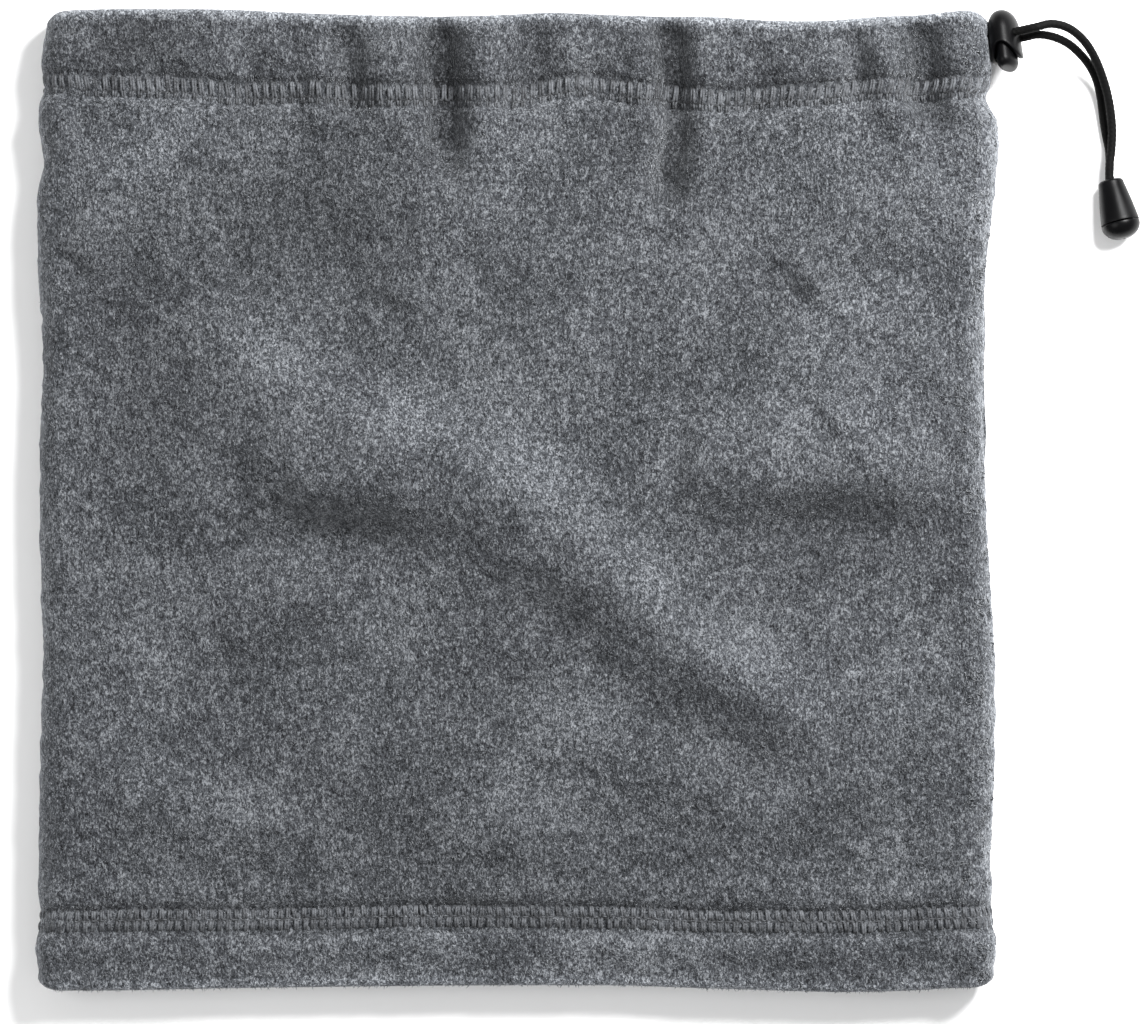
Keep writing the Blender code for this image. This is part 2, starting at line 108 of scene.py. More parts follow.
# Hollows of the upper layer: centre, half lengths across and along, turn in degrees, depth
HOLLOWS = [
    ((-48, -10), (26, 9), 0, 3.4),
    ((86, -6), (40, 8), 0, 3.2),
    ((12, -31), (14, 9), -20, 2.6),
    ((44, -58), (44, 12), -28, 3.0),
    ((-50, 66), (22, 24), 15, 4.2),
    ((-100, 34), (16, 34), 0, 2.8),
    ((106, 60), (16, 9), 30, 2.6),
    ((-96, -30), (20, 30), 0, 1.4),
]
# Gathers that run down from the casing: X, top and bottom in Y, half width, depth
GATHERS = [
    (-46.0, 127, 106, 5.0, 4.6),
    (-20.5, 130, 92, 5.0, 6.6),
    (3.0, 130, 112, 5.2, 3.2),
    (42.0, 130, 82, 4.2, 6.4),
    (93.0, 127, 112, 4.0, 3.6),
    (112.5, 128, 102, 5.2, 5.6),
    (-72.0, 122, 108, 3.8, 1.4),
    (66.0, 122, 108, 3.8, 1.2),
    (22.0, 118, 104, 3.4, 1.1),
    (-106.0, 131, 118, 12.0, 3.0),
    (-96.0, 118, 105, 3.6, 1.2),
]
DEEPEST_GATHER = 5.4            # deeper, and the casing's two layers would meet

# Soft spots of painted light (change above 0) and painted shade (change below 0) on the upper layer: centre,
# half lengths along and across, turn in degrees, change
LIGHT_AND_SHADE_SPOTS = [
    ((-62, 38), (24, 8), -30, 0.26),
    ((-28, 23), (24, 9), -22, 0.28),
    ((6, 9), (20, 9), -25, 0.26),
    ((36, -20), (22, 8), -42, 0.24),
    ((66, -46), (20, 8), -36, 0.18),
    ((-100, 96), (24, 9), 38, 0.34),
    ((-8, 84), (24, 8), 53, 0.16),
    ((102, 66), (30, 9), 45, 0.28),
    ((102, 28), (20, 8), 8, 0.24),
    ((-104, -58), (16, 30), 0, 0.06),
    ((-58, 76), (28, 21), 0, -0.24),
    ((-108, 121), (16, 7), 0, -0.30),
    ((-106, 26), (15, 36), 0, -0.16),
    ((-45, -7), (28, 8), 0, -0.14),
    ((86, -9), (36, 8), 0, -0.24),
    ((14, -31), (16, 8), -20, -0.14),
    ((46, -58), (42, 13), -28, -0.12),
    ((0, -124), (150, 9), 0, 0.26),
    ((20, 118), (110, 9), 0, -0.10),
]
GATHER_SHADE = 0.065             # painted shade: how much darker the colour is made for each millimetre of a gather's depth
# painted shade in the needle holes: how dark they are made, and the size of each dark spot
HOLE_SHADE = 0.92
HOLE_RADIUS = 0.56
# the lowest factor that the painted light and shade may bring the colour down to
DARKEST_PAINTED_TONE = 0.08
RIM_LIGHT = 1.3                 # painted sheen: how much lighter the colour is made where the cloth turns away

# Cloth grid and stitches
FINE_STEP = 1.0
STITCH_PITCH = 2.45
HEM_PITCH = 2.3
THREAD_SIDES = 6

# Pile
TUFT_SPACING = 0.74
BACK_TUFT_SPACING = 1.3
TUFT_LENGTH = (0.7, 1.5)
TUFT_WIDTH = (0.15, 0.27)

# Cord, lock and bell, as in the CAD
CORD_RADIUS = 1.2
LOCK_CENTRE = Vector((132.6, 125.4, 11.3))
LOCK_TURN = math.radians(12)
LOCK_PITCH = math.radians(17)
LOCK_ROLL = math.radians(-20)
LOCK_HALF_DEPTH = 4.2
LOCK_HALF_WIDTH = 6.3
LOCK_WALL = 1.2
LOCK_STEPS = 96
DOME_TOP = 7.6
DOME_START = 1.0
DOME_POWER = 2.4
RIM_MIDDLE = -4.8
RIM_WAVE = 1.8
LIP_ROUND = 0.3
CEILING = 6.2
CEILING_CURVE = [(2.3, 3.9, 0.0), (2.7, 4.7, 0.8), (3.0, 5.1, 2.2)]
CORD_HOLE_RADIUS = 2.2
CORD_HOLE_LEVEL = 0.7
PLUNGER_TOP = 2.6
PLUNGER_END = -9.0
PLUNGER_ROUND = 2.2
SPRING_RADIUS = 2.0
SPRING_WIRE = 0.22
SPRING_TURNS = 3
CASING_SIDE = 5.6
CORD_JOINT = 1.0
CORD_LEVEL = 124.4
CASING_REACH = 127.5            # how far the drawcord's turn at each side comes from the middle
CORD_SPACING = 2.6
BELL_ENTRY = Vector((161.6, 87.0, 3.75))
BELL_DIRECTION = Vector((0.222, -0.963, 0.150)).normalized()
BELL_LENGTH = 12.0
BELL_TOP_RADIUS = 3.5
BELL_BASE_RADIUS = 5.3
CAP_HEIGHT = 4.2
STRAND_OFFSET = 1.35
STRAND_END = 3.4
STRAND_LEAD = 0.6
UPPER_STRAIGHT = 9.8
LOWER_STRAIGHT = 7.8
UPPER_ROUTE = [
    (144.9, 129.0, 15.4), (148.9, 128.3, 14.0), (152.3, 126.3, 12.3), (155.1, 123.4, 10.4),
    (157.4, 119.6, 8.6), (159.2, 115.4, 7.0), (160.7, 110.6, 5.8), (161.7, 105.4, 5.0),
    (162.1, 100.4, 4.6), (161.9, 95.6, 4.6), (161.4, 91.4, 4.9),
]
LOWER_ROUTE = [
    (143.4, 126.2, 11.0), (146.8, 125.4, 10.2), (150.3, 123.7, 8.8), (153.5, 121.0, 7.0),
    (156.2, 117.7, 5.2), (158.1, 113.8, 3.6), (159.2, 109.2, 2.4), (159.8, 104.6, 1.7), (160.5, 100.0, 1.5),
    (161.4, 95.6, 1.6), (161.6, 91.4, 2.0),
]


# Helpers

def mesh_object(name, points, faces, material, smooth=True):
    """A mesh object from points in millimetres and an array or list of faces."""
    mesh = bpy.data.meshes.new(name)
    faces = faces.tolist() if isinstance(faces, np.ndarray) else faces
    mesh.from_pydata((np.asarray(points) * MM).tolist(), [], faces)
    mesh.update()
    if smooth:
        mesh.shade_smooth()
    mesh.materials.append(material)
    obj = bpy.data.objects.new(name, mesh)
    bpy.context.scene.collection.objects.link(obj)
    return obj


def grid_faces(rows, count, ring=False):
    """Quads over rows of count points each; every row closes on itself, and so do the rows of a ring."""
    i, j = np.meshgrid(np.arange(rows if ring else rows - 1), np.arange(count), indexing="ij")
    there = (i + 1) % rows
    after = (j + 1) % count
    quads = np.stack([i * count + j, i * count + after, there * count + after, there * count + j], axis=-1)
    return quads.reshape(-1, 4)


def capped_faces(rows, count):
    """The quads of a tube of rows, with a face over each end."""
    faces = grid_faces(rows, count).tolist()
    faces.append(list(range(count))[::-1])
    faces.append(list(range(count * (rows - 1), count * rows)))
    return faces


def store(obj, name, values):
    """Keeps one value at each vertex under a name that a material can read."""
    layer = obj.data.attributes.new(name, "FLOAT", "POINT")
    layer.data.foreach_set("value", np.asarray(values, np.float32))


def curve_point(a, b, c, d, t):
    """The Catmull-Rom curve through a, b, c and d at the share t of the way from b to c."""
    return 0.5 * (2 * b + (c - a) * t + (2 * a - 5 * b + 4 * c - d) * t ** 2
                  + (3 * b - a - 3 * c + d) * t ** 3)


def smooth_step(value):
    value = np.clip(value, 0.0, 1.0)
    return value * value * (3 - 2 * value)


def edge_line(table, at):
    """A smooth line through a table of (along, place)."""
    along = np.array([row[0] for row in table], float)
    place = np.array([row[1] for row in table], float)
    slope = np.gradient(place, along)
    at = np.clip(at, along[0], along[-1])
    i = np.clip(np.searchsorted(along, at, "right") - 1, 0, len(along) - 2)
    width = along[i + 1] - along[i]
    t = (at - along[i]) / width
    return ((2 * t ** 3 - 3 * t ** 2 + 1) * place[i] + (t ** 3 - 2 * t ** 2 + t) * width * slope[i]
            + (3 * t ** 2 - 2 * t ** 3) * place[i + 1] + (t ** 3 - t ** 2) * width * slope[i + 1])


class Noise:
    """Smooth seeded noise on a repeating lattice, read at any points."""

    def __init__(self, seed, size=64):
        self.grid = np.random.default_rng(seed).standard_normal((size, size))
        self.size = size

    def at(self, x, y, scale, stretch=1.0):
        """Values at x and y; scale is the blob size, and stretch lengthens the blobs in y."""
        u = x / scale + 1000.0
        v = y / (scale * stretch) + 1000.0
        i = np.floor(u).astype(int)
        j = np.floor(v).astype(int)
        a = smooth_step(u - i)
        b = smooth_step(v - j)
        g = self.grid
        n = self.size
        low = g[i % n, j % n] * (1 - a) + g[(i + 1) % n, j % n] * a
        high = g[i % n, (j + 1) % n] * (1 - a) + g[(i + 1) % n, (j + 1) % n] * a
        return low * (1 - b) + high * b


NOISE = Noise(SEED)
NOISE_FINE = Noise(SEED + 1, 128)


# Camera, light and floor

def camera_and_stage():
    camera = bpy.data.cameras.new("camera")
    camera.lens = LENS
    camera.sensor_width = SENSOR
    camera.clip_end = 20.0
    distance = VIEW_WIDTH * LENS / SENSOR
    holder = bpy.data.objects.new("camera", camera)
    holder.location = (VIEW_CENTRE[0] * MM, VIEW_CENTRE[1] * MM, (VIEW_LEVEL + distance) * MM)
    bpy.context.scene.collection.objects.link(holder)
    bpy.context.scene.camera = holder

    floor = mesh_object("floor", [(-4000, -4000, 0), (4000, -4000, 0), (4000, 4000, 0), (-4000, 4000, 0)],
                        [(0, 1, 2, 3)], floor_material())

    area_light("key", (500, 530, 740), 420, 30.0)
    area_light("fill", (-700, -200, 1100), 900, 7.0)
    world = bpy.data.worlds.new("studio")
    world.use_nodes = True
    background = world.node_tree.nodes["Background"]
    background.inputs["Color"].default_value = (1.0, 1.0, 1.0, 1.0)
    background.inputs["Strength"].default_value = 0.46
    bpy.context.scene.world = world
    bpy.context.scene.view_settings.view_transform = "Standard"


def area_light(name, place, size, power):
    light = bpy.data.lights.new(name, "AREA")
    light.shape = "DISK"
    light.size = size * MM
    light.energy = power
    obj = bpy.data.objects.new(name, light)
    obj.location = Vector(place) * MM
    obj.rotation_euler = (Vector((0, 0, 0)) - Vector(place)).to_track_quat("-Z", "Y").to_euler()
    bpy.context.scene.collection.objects.link(obj)


# Materials

class Shader:
    """A Principled material with short calls for its procedural nodes."""

    def __init__(self, name):
        self.material = bpy.data.materials.new(name)
        self.material.use_nodes = True
        self.nodes = self.material.node_tree.nodes
        self.links = self.material.node_tree.links
        self.surface = self.nodes["Principled BSDF"]
        self.place = self.nodes.new("ShaderNodeTexCoord").outputs["Object"]

    def node(self, kind, **inputs):
        node = self.nodes.new("ShaderNode" + kind)
        for key, value in inputs.items():
            self.put(node, key.replace("_", " "), value)
        return node

    def put(self, node, key, value):
        """Links or sets an input by its name or index; three numbers are an opaque colour."""
        socket = node.inputs[key]
        if isinstance(value, bpy.types.NodeSocket):
            self.links.new(value, socket)
        elif isinstance(value, tuple) and len(value) == 3:
            socket.default_value = (*value, 1.0)
        else:
            socket.default_value = value

    def attribute(self, name):
        """The node that reads a value stored on the mesh."""
        node = self.nodes.new("ShaderNodeAttribute")
        node.attribute_name = name
        return node

    def set(self, **inputs):
        for key, value in inputs.items():
            self.put(self.surface, key.replace("_", " "), value)

    def scaled(self, x, y, z):
        node = self.node("Mapping", Vector=self.place)
        node.inputs["Scale"].default_value = (x, y, z)
        return node.outputs["Vector"]

    def noise(self, size, detail=2.0, roughness=0.55, vector=None, distortion=0.0):
        """Noise with blobs of a size in millimetres."""
        node = self.node("TexNoise", Vector=vector or self.place, Scale=1 / (size * MM), Detail=detail,
                         Roughness=roughness, Distortion=distortion)
        return node.outputs["Fac"]

    def ramp(self, value, stops):
        node = self.nodes.new("ShaderNodeValToRGB")
        self.put(node, "Fac", value)
        ramp = node.color_ramp
        while len(ramp.elements) < len(stops):
            ramp.elements.new(0.5)
        for element, (at, colour) in zip(ramp.elements, stops):
            element.position = at
            element.color = (*colour, 1.0) if isinstance(colour, tuple) else (colour, colour, colour, 1.0)
        return node.outputs["Color"]

    def mix(self, share, a, b, blend="MIX"):
        node = self.nodes.new("ShaderNodeMix")
        node.data_type = "RGBA"
        node.blend_type = blend
        self.put(node, 0, share)
        self.put(node, 6, a)
        self.put(node, 7, b)
        return node.outputs[2]

    def math(self, operation, a, b=0.0):
        node = self.nodes.new("ShaderNodeMath")
        node.operation = operation
        self.put(node, 0, a)
        self.put(node, 1, b)
        return node.outputs["Value"]

    def bump(self, height, distance, strength=1.0, under=None):
        node = self.node("Bump", Height=height, Distance=distance * MM, Strength=strength)
        if under is not None:
            self.links.new(under, node.inputs["Normal"])
        return node.outputs["Normal"]


def floor_material():
    shader = Shader("studio_floor")
    grain = shader.noise(30.0, 2.0)
    shader.set(Base_Color=shader.ramp(grain, [(0.3, 0.95), (0.7, 0.97)]), Roughness=0.9)
    return shader.material


# Colour ramps. The cloth ramp is random tone, made darker than the tips by painted shade between the fibres;
# the root colour is painted shade, at the roots of the tufts and where a thread sinks into the cloth
SHADED_CLOTH_TONES = [(0.37, (0.006, 0.0065, 0.0075)), (0.50, (0.040, 0.043, 0.048)), (0.63, (0.160, 0.168, 0.180))]
TIP_TONES = [(0.37, (0.015, 0.016, 0.018)), (0.50, (0.092, 0.098, 0.106)), (0.63, (0.350, 0.362, 0.380))]
ROOT_SHADE = (0.011, 0.012, 0.014)


def fibre_noise(shader):
    """Fine fibres, their clumps and broad changes of tone, slightly drawn out along Y, as one value."""
    streak = shader.scaled(1.0, 0.6, 1.0)
    fibre = shader.noise(0.50, 2.0, 0.65, streak, 0.6)
    clump = shader.noise(1.5, 2.0, 0.6, streak, 0.4)
    broad = shader.noise(22.0, 2.0, 0.5)
    mixed = shader.math("ADD", shader.math("MULTIPLY", fibre, 0.62), shader.math("MULTIPLY", clump, 0.26))
    return shader.math("ADD", mixed, shader.math("MULTIPLY", broad, 0.12)), fibre, clump


def times_painted_light(shader, colour):
    """The colour multiplied by the painted light and shade stored on the mesh."""
    return shader.mix(1.0, colour, shader.attribute("light_and_shade").outputs["Color"], "MULTIPLY")


def fleece_material(name):
    """The cloth under the pile: painted shade makes it dark between the fibres, the stored painted light and
    shade is multiplied in, and it has a knobbly brushed surface.
    """
    shader = Shader(name)
    mixed, fibre, clump = fibre_noise(shader)
    low = shader.bump(clump, 0.7, 0.8)
    high = shader.bump(fibre, 0.5, 1.0, low)
    shader.set(Base_Color=times_painted_light(shader, shader.ramp(mixed, SHADED_CLOTH_TONES)),
               Roughness=shader.ramp(fibre, [(0.3, 0.98), (0.7, 0.82)]), Normal=high, Sheen_Weight=0.35,
               Sheen_Roughness=0.35, Sheen_Tint=(0.75, 0.78, 0.82, 1.0), Specular_IOR_Level=0.15)
    return shader.material


def pile_material(name):
    """Single tufts: painted shade at the root, light or dark at the tip from one tuft to the next, and the
    stored painted light and shade multiplied into the tips.
    """
    shader = Shader(name)
    mixed, fibre, _ = fibre_noise(shader)
    place = shader.attribute("tip")
    tips = times_painted_light(shader, shader.ramp(mixed, TIP_TONES))
    # painted shade at the root of each tuft
    colour = shader.mix(shader.math("POWER", place.outputs["Fac"], 0.8), ROOT_SHADE, tips)
    shader.set(Base_Color=colour, Roughness=shader.ramp(fibre, [(0.3, 0.9), (0.7, 0.7)]),
               Normal=shader.bump(fibre, 0.10, 0.8), Sheen_Weight=0.45, Sheen_Roughness=0.3,
               Sheen_Tint=(0.8, 0.83, 0.87, 1.0), Specular_IOR_Level=0.2)
    return shader.material


def thread_material():
    shader = Shader("overlock_thread")
    twist = shader.noise(0.42, 3.0, 0.65)
    tone = shader.noise(3.0, 2.0)
    mixed = shader.math("ADD", shader.math("MULTIPLY", twist, 0.6), shader.math("MULTIPLY", tone, 0.4))
    tones = shader.ramp(mixed, [(0.38, (0.012, 0.013, 0.015)), (0.62, (0.106, 0.112, 0.122))])
    # painted shade: the thread is darkened towards the root colour where it sinks into the cloth
    place = shader.attribute("tip")
    colour = shader.mix(place.outputs["Fac"], ROOT_SHADE, tones)
    shader.set(Base_Color=colour, Roughness=shader.ramp(twist, [(0.3, 0.85), (0.7, 0.62)]),
               Normal=shader.bump(twist, 0.06, 0.8), Sheen_Weight=0.15, Specular_IOR_Level=0.3)
    return shader.material


def cord_material():
    shader = Shader("elastic_cord")
    fibre = shader.noise(0.16, 2.0, 0.6)
    tone = shader.noise(5.0, 2.0)
    colour = shader.ramp(shader.math("ADD", shader.math("MULTIPLY", fibre, 0.7),
                                     shader.math("MULTIPLY", tone, 0.3)),
                         [(0.3, 0.0008), (0.7, 0.0034)])
    shader.set(Base_Color=colour, Roughness=shader.ramp(fibre, [(0.3, 0.75), (0.7, 0.5)]),
               Normal=shader.bump(fibre, 0.05, 0.8), Specular_IOR_Level=0.07)
    return shader.material


def plastic_material(name, gloss):
    """Satin moulded plastic: fine spark texture, faint flow marks and rubbed patches."""
    shader = Shader(name)
    spark = shader.noise(0.28, 3.0, 0.6)
    flow = shader.noise(6.0, 3.0, 0.55, shader.scaled(1.0, 0.4, 1.0))
    colour = shader.ramp(flow, [(0.3, (0.0007, 0.0007, 0.0009)), (0.7, (0.0018, 0.0018, 0.0021))])
    rough = shader.math("ADD", shader.ramp(flow, [(0.3, gloss), (0.7, gloss + 0.12)]),
                        shader.math("MULTIPLY", spark, 0.06))
    shader.set(Base_Color=colour, Roughness=rough, Normal=shader.bump(spark, 0.035, 0.6),
               Specular_IOR_Level=0.1)
    return shader.material


def spring_material():
    shader = Shader("spring_steel")
    drawn = shader.noise(0.12, 2.0, 0.5, shader.scaled(1.0, 1.0, 4.0))
    shader.set(Base_Color=shader.ramp(drawn, [(0.3, 0.42), (0.7, 0.6)]), Metallic=1.0,
               Roughness=shader.ramp(drawn, [(0.3, 0.22), (0.7, 0.38)]),
               Normal=shader.bump(drawn, 0.02, 0.4))
    return shader.material


# The cord

def lock_rotation():
    upright = Matrix.Rotation(math.radians(-90), 3, "X")
    roll = Matrix.Rotation(LOCK_ROLL, 3, "X")
    pitch = Matrix.Rotation(-LOCK_PITCH, 3, "Y")
    turn = Matrix.Rotation(LOCK_TURN, 3, "Z")
    return turn @ pitch @ roll @ upright


def in_lock(point):
    return LOCK_CENTRE + lock_rotation() @ Vector(point)


def in_bell(height, along):
    up = (Vector((0, 0, 1)) - BELL_DIRECTION * BELL_DIRECTION.z).normalized()
    return BELL_ENTRY + BELL_DIRECTION * along + up * height


def smooth_line(route, step):
    """Points about step apart on the Catmull-Rom curve through a route."""
    ends = [2 * route[0] - route[1], *route, 2 * route[-1] - route[-2]]
    fine = []
    samples = 24
    for a, b, c, d in zip(ends, ends[1:], ends[2:], ends[3:]):
        for i in range(samples):
            t = i / samples
            fine.append(curve_point(a, b, c, d, t))
    fine.append(route[-1])
    fine = np.array(fine)
    lengths = np.concatenate([[0.0], np.cumsum(np.linalg.norm(np.diff(fine, axis=0), axis=1))])
    along = np.linspace(0.0, lengths[-1], max(2, round(lengths[-1] / step)) + 1)
    return np.stack([np.interp(along, lengths, fine[:, k]) for k in range(3)], axis=1), lengths[-1]


def frames_along(line):
    """Two directions across a line of points at each point, without twist."""
    ahead = np.gradient(line, axis=0)
    ahead /= np.linalg.norm(ahead, axis=1)[:, None]
    first = np.cross(ahead[0], (0.0, 0.0, 1.0))
    if np.linalg.norm(first) < 0.1:
        first = np.cross(ahead[0], (0.0, 1.0, 0.0))
    across = [first / np.linalg.norm(first)]
    for i in range(1, len(line)):
        turned = across[-1] - ahead[i] * np.dot(across[-1], ahead[i])
        across.append(turned / np.linalg.norm(turned))
    across = np.array(across)
    return across, np.cross(ahead, across)


def tube_mesh(line, radii, sides, relief=None):
    """Points and faces of a closed tube along a line; relief(along, angle) adds to the radius."""
    across, up = frames_along(line)
    steps = np.concatenate([[0.0], np.cumsum(np.linalg.norm(np.diff(line, axis=0), axis=1))])
    angle = 2 * math.pi * np.arange(sides) / sides
    radius = np.broadcast_to(np.asarray(radii, float).reshape(-1, 1), (len(line), sides)).copy()
    if relief is not None:
        radius += relief(steps[:, None], angle[None, :])
    ring = line[:, None, :] + radius[..., None] * (np.cos(angle)[None, :, None] * across[:, None, :]
                                                   + np.sin(angle)[None, :, None] * up[:, None, :])
    return ring.reshape(-1, 3), capped_faces(len(line), sides)


def braid(along, angle):
    """The relief of a round braid of sixteen yarns."""
    lead = 5.2
    turn = 2 * math.pi * along / lead
    one = np.cos(4 * (angle + turn))
    other = np.cos(4 * (angle - turn))
    return 0.07 * (np.maximum(one, other) - 0.6)


def strand(name, side, straight, route, material):
    start = in_lock((-CASING_SIDE, side * CORD_SPACING, 0))
    through = [in_lock((reach, side * CORD_SPACING, 0)) for reach in (-2.0, 2.0, 6.0, straight)]
    inside = [in_bell(-side * STRAND_OFFSET, along) for along in (-STRAND_LEAD, STRAND_END)]
    points = [start, *through, *(Vector(point) for point in route), *inside]
    line, length = smooth_line(points, 0.25)
    body, faces = tube_mesh(line, CORD_RADIUS - 0.03, 32, braid)
    obj = mesh_object(name, body, faces, material)
    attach(obj, "gaiter")
    return obj, line, start, length


def casing_cord(material):
    """The drawcord's hidden run in the casing's channel, round the tube; both its ends leave at +X."""
    radius = END_RADIUS - PLY - CORD_RADIUS
    reach = CASING_REACH - END_RADIUS

    def way_out(cord_side):
        level = END_RADIUS - cord_side * radius
        end = in_lock((-CASING_SIDE - CORD_JOINT, cord_side * CORD_SPACING, 0))
        turns = []
        for degrees in (72, 44):
            angle = -cord_side * math.radians(degrees)
            turns.append(Vector((reach + radius * math.cos(angle), CORD_LEVEL,
                                 END_RADIUS + radius * math.sin(angle))))
        flat = [Vector((reach - back, CORD_LEVEL, level)) for back in range(12, 3, -4)]
        return smooth_line([*flat, *turns, end], 1.0)[0]

    top, low = way_out(-1), way_out(1)
    x = np.arange(top[0, 0] - 1.5, -reach, -1.5)
    over = np.stack([x, x * 0 + CORD_LEVEL, x * 0 + END_RADIUS + radius], axis=1)
    under = np.stack([x[::-1], x * 0 + CORD_LEVEL, x * 0 + END_RADIUS - radius], axis=1)
    angles = math.pi * (0.5 + np.arange(1, 16) / 16)
    fold = np.stack([-reach + radius * np.cos(angles), angles * 0 + CORD_LEVEL,
                     END_RADIUS + radius * np.sin(angles)], axis=1)
    line = np.concatenate([top[::-1], over, fold, under, low])
    shaped_line = np.stack(shaped(line[:, 0], line[:, 1], line[:, 2]), axis=-1)
    free = smooth_step((line[:, 0] - 108) / 12)[:, None]
    line = shaped_line * (1 - free) + line * free
    body, faces = tube_mesh(line, CORD_RADIUS - 0.03, 24, braid)
    obj = mesh_object("drawcord_hidden_run", body, faces, material)
    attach(obj, "gaiter")
    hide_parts("drawcord_in_casing")
    return obj


# The cloth

def layer_share(z):
    """0 in the layer that lies on the table and 1 in the upper layer."""
    return smooth_step((z - 2.5) / 9.0)


def spot(x, y, centre, reach, turn):
    """The squared distance from a spot's centre, in its own half lengths."""
    c, s = math.cos(math.radians(turn)), math.sin(math.radians(turn))
    u = ((x - centre[0]) * c + (y - centre[1]) * s) / reach[0]
    v = ((y - centre[1]) * c - (x - centre[0]) * s) / reach[1]
    return u * u + v * v


def off_gather(x, y, centre):
    """The distance across a gather from its slightly wavy middle line."""
    return x - (centre + 1.6 * np.sin(y / 11.0 + centre))


def fold_height(x, y):
    """The soft folds and hollows of the upper layer."""
    total = np.zeros_like(x)
    for crest, height, bright, shade in FOLDS:
        crest = np.array(crest, float)
        best = np.full(x.shape, 1e9)
        signed = np.zeros_like(x)
        ends = np.ones_like(x)
        pieces = len(crest) - 1
        for k in range(pieces):
            a, b = crest[k], crest[k + 1]
            way = b - a
            size = np.linalg.norm(way)
            way = way / size
            along = (x - a[0]) * way[0] + (y - a[1]) * way[1]
            held = np.clip(along, 0, size)
            dx = x - a[0] - way[0] * held
            dy = y - a[1] - way[1] * held
            distance = np.hypot(dx, dy)
            near = distance < best
            best = np.where(near, distance, best)
            signed = np.where(near, dy * way[0] - dx * way[1], signed)
            progress = (k + held / size) / pieces
            taper = smooth_step(progress / 0.14) * smooth_step((1 - progress) / 0.18)
            ends = np.where(near, 0.25 + 0.75 * taper, ends)
        reach = np.where(signed > 0, bright, shade)
        total += height * ends * np.exp(-(best / reach) ** 2 * 1.6)
    for centre, reach, turn, depth in HOLLOWS:
        total -= depth * np.exp(-spot(x, y, centre, reach, turn) * 1.2)
    return total


def gather_height(x, y):
    """Narrow gathers below and over the casing, and the pucker along both rows of stitches."""
    total = np.zeros_like(x)
    for centre, top, low, half, depth in GATHERS:
        off = off_gather(x, y, centre)
        across = np.exp(-(off / half) ** 2)
        along = smooth_step((y - low + 8) / 16) * smooth_step((top + 6 - y) / 10)
        shoulder = np.exp(-((np.abs(off) - 2.0 * half) / half) ** 2)
        total += along * (0.3 * depth * shoulder - depth * across)
    near_casing = np.exp(-((y - 116) / 13.0) ** 2)
    near_hem = np.exp(-((y + 114) / 10.0) ** 2)
    total += near_casing * 0.75 * NOISE.at(x, y, 7.5, 2.6)
    total += near_hem * 0.35 * NOISE.at(x, y, 8.0, 2.2)
    return np.maximum(total, -DEEPEST_GATHER)


def painted_upper_tone(x, y):
    """Painted light and shade on the upper layer, about 1: lighter and darker soft spots, painted shade in
    the gathers, and a faint random change of tone.
    """
    tone = np.ones_like(x)
    for centre, reach, turn, change in LIGHT_AND_SHADE_SPOTS:
        tone += change * np.exp(-spot(x, y, centre, reach, turn))
    # painted shade in the gathers
    for centre, top, low, half, depth in GATHERS:
        across = np.exp(-(off_gather(x, y, centre) / half) ** 2)
        along = smooth_step((y - low + 8) / 16) * smooth_step((top + 8 - y) / 10)
        tone -= GATHER_SHADE * depth * across * along
    return tone + 0.05 * NOISE.at(x, y, 24.0)


def needle_hole_shade(s, y):
    """Painted shade: 1 on open cloth, and dark in the needle hole where a looper thread dives into it at the
    end of a stitch.
    """
    tone = np.ones_like(s)
    for line, pitch in ((CASING_STITCH[1] + 0.3, STITCH_PITCH), (HEM_STITCH[1] + 0.2, HEM_PITCH),
                        (HEM_STITCH[0] - 0.2, HEM_PITCH)):
        step = GIRTH / round(GIRTH / pitch)
        off = np.mod(s, step) - step / 2
        tone -= HOLE_SHADE * np.exp(-(off * off + (0.8 * (y - line)) ** 2) / HOLE_RADIUS ** 2)
    return tone


def paint_light_and_shade(obj, s, y, repeats=1):
    """Stores the cloth's painted light and shade on a mesh whose points lie at s round the tube and y along
    it: the spots and gather shade on the upper layer, painted sheen on the rims where the cloth turns away,
    and painted shade in the needle holes.
    """
    x, _, up = around(s)
    upper = smooth_step(up)
    # the rims where the cloth turns away, which get painted sheen
    turned = np.maximum(1 - np.abs(up), smooth_step((np.abs(y) - 129.0) / 3.0))
    tone = (1 + (painted_upper_tone(x, y) - 1) * upper + RIM_LIGHT * turned) * needle_hole_shade(s, y)
    store(obj, "light_and_shade", np.repeat(np.maximum(tone.ravel(), DARKEST_PAINTED_TONE), repeats))


def quilting(y):
    """The hollow band of the stitches and the soft roll beside it."""
    total = np.zeros_like(y)
    for low, high in (CASING_STITCH, HEM_STITCH):
        for line in (low, high):
            total -= 0.75 * np.exp(-((y - line) / 1.1) ** 2)
        middle = (low + high) / 2
        total -= 0.55 * np.exp(-((y - middle) / 3.4) ** 4)
    total += 0.8 * np.exp(-((y - CASING_STITCH[0] + 4.2) / 3.0) ** 2)
    total += 0.9 * np.exp(-((y - CASING_STITCH[1] - 6.0) / 5.0) ** 2)
    total += 0.9 * np.exp(-((y - HEM_STITCH[0] + 5.4) / 4.2) ** 2)
    total += 0.4 * np.exp(-((y - HEM_STITCH[1] - 4.0) / 3.4) ** 2)
    return total


def quilted(y, up):
    """The quilting's relief, weaker where the tube turns over at its sides."""
    return quilting(y) * (0.3 + 0.7 * smooth_step(np.abs(up) / 0.9))


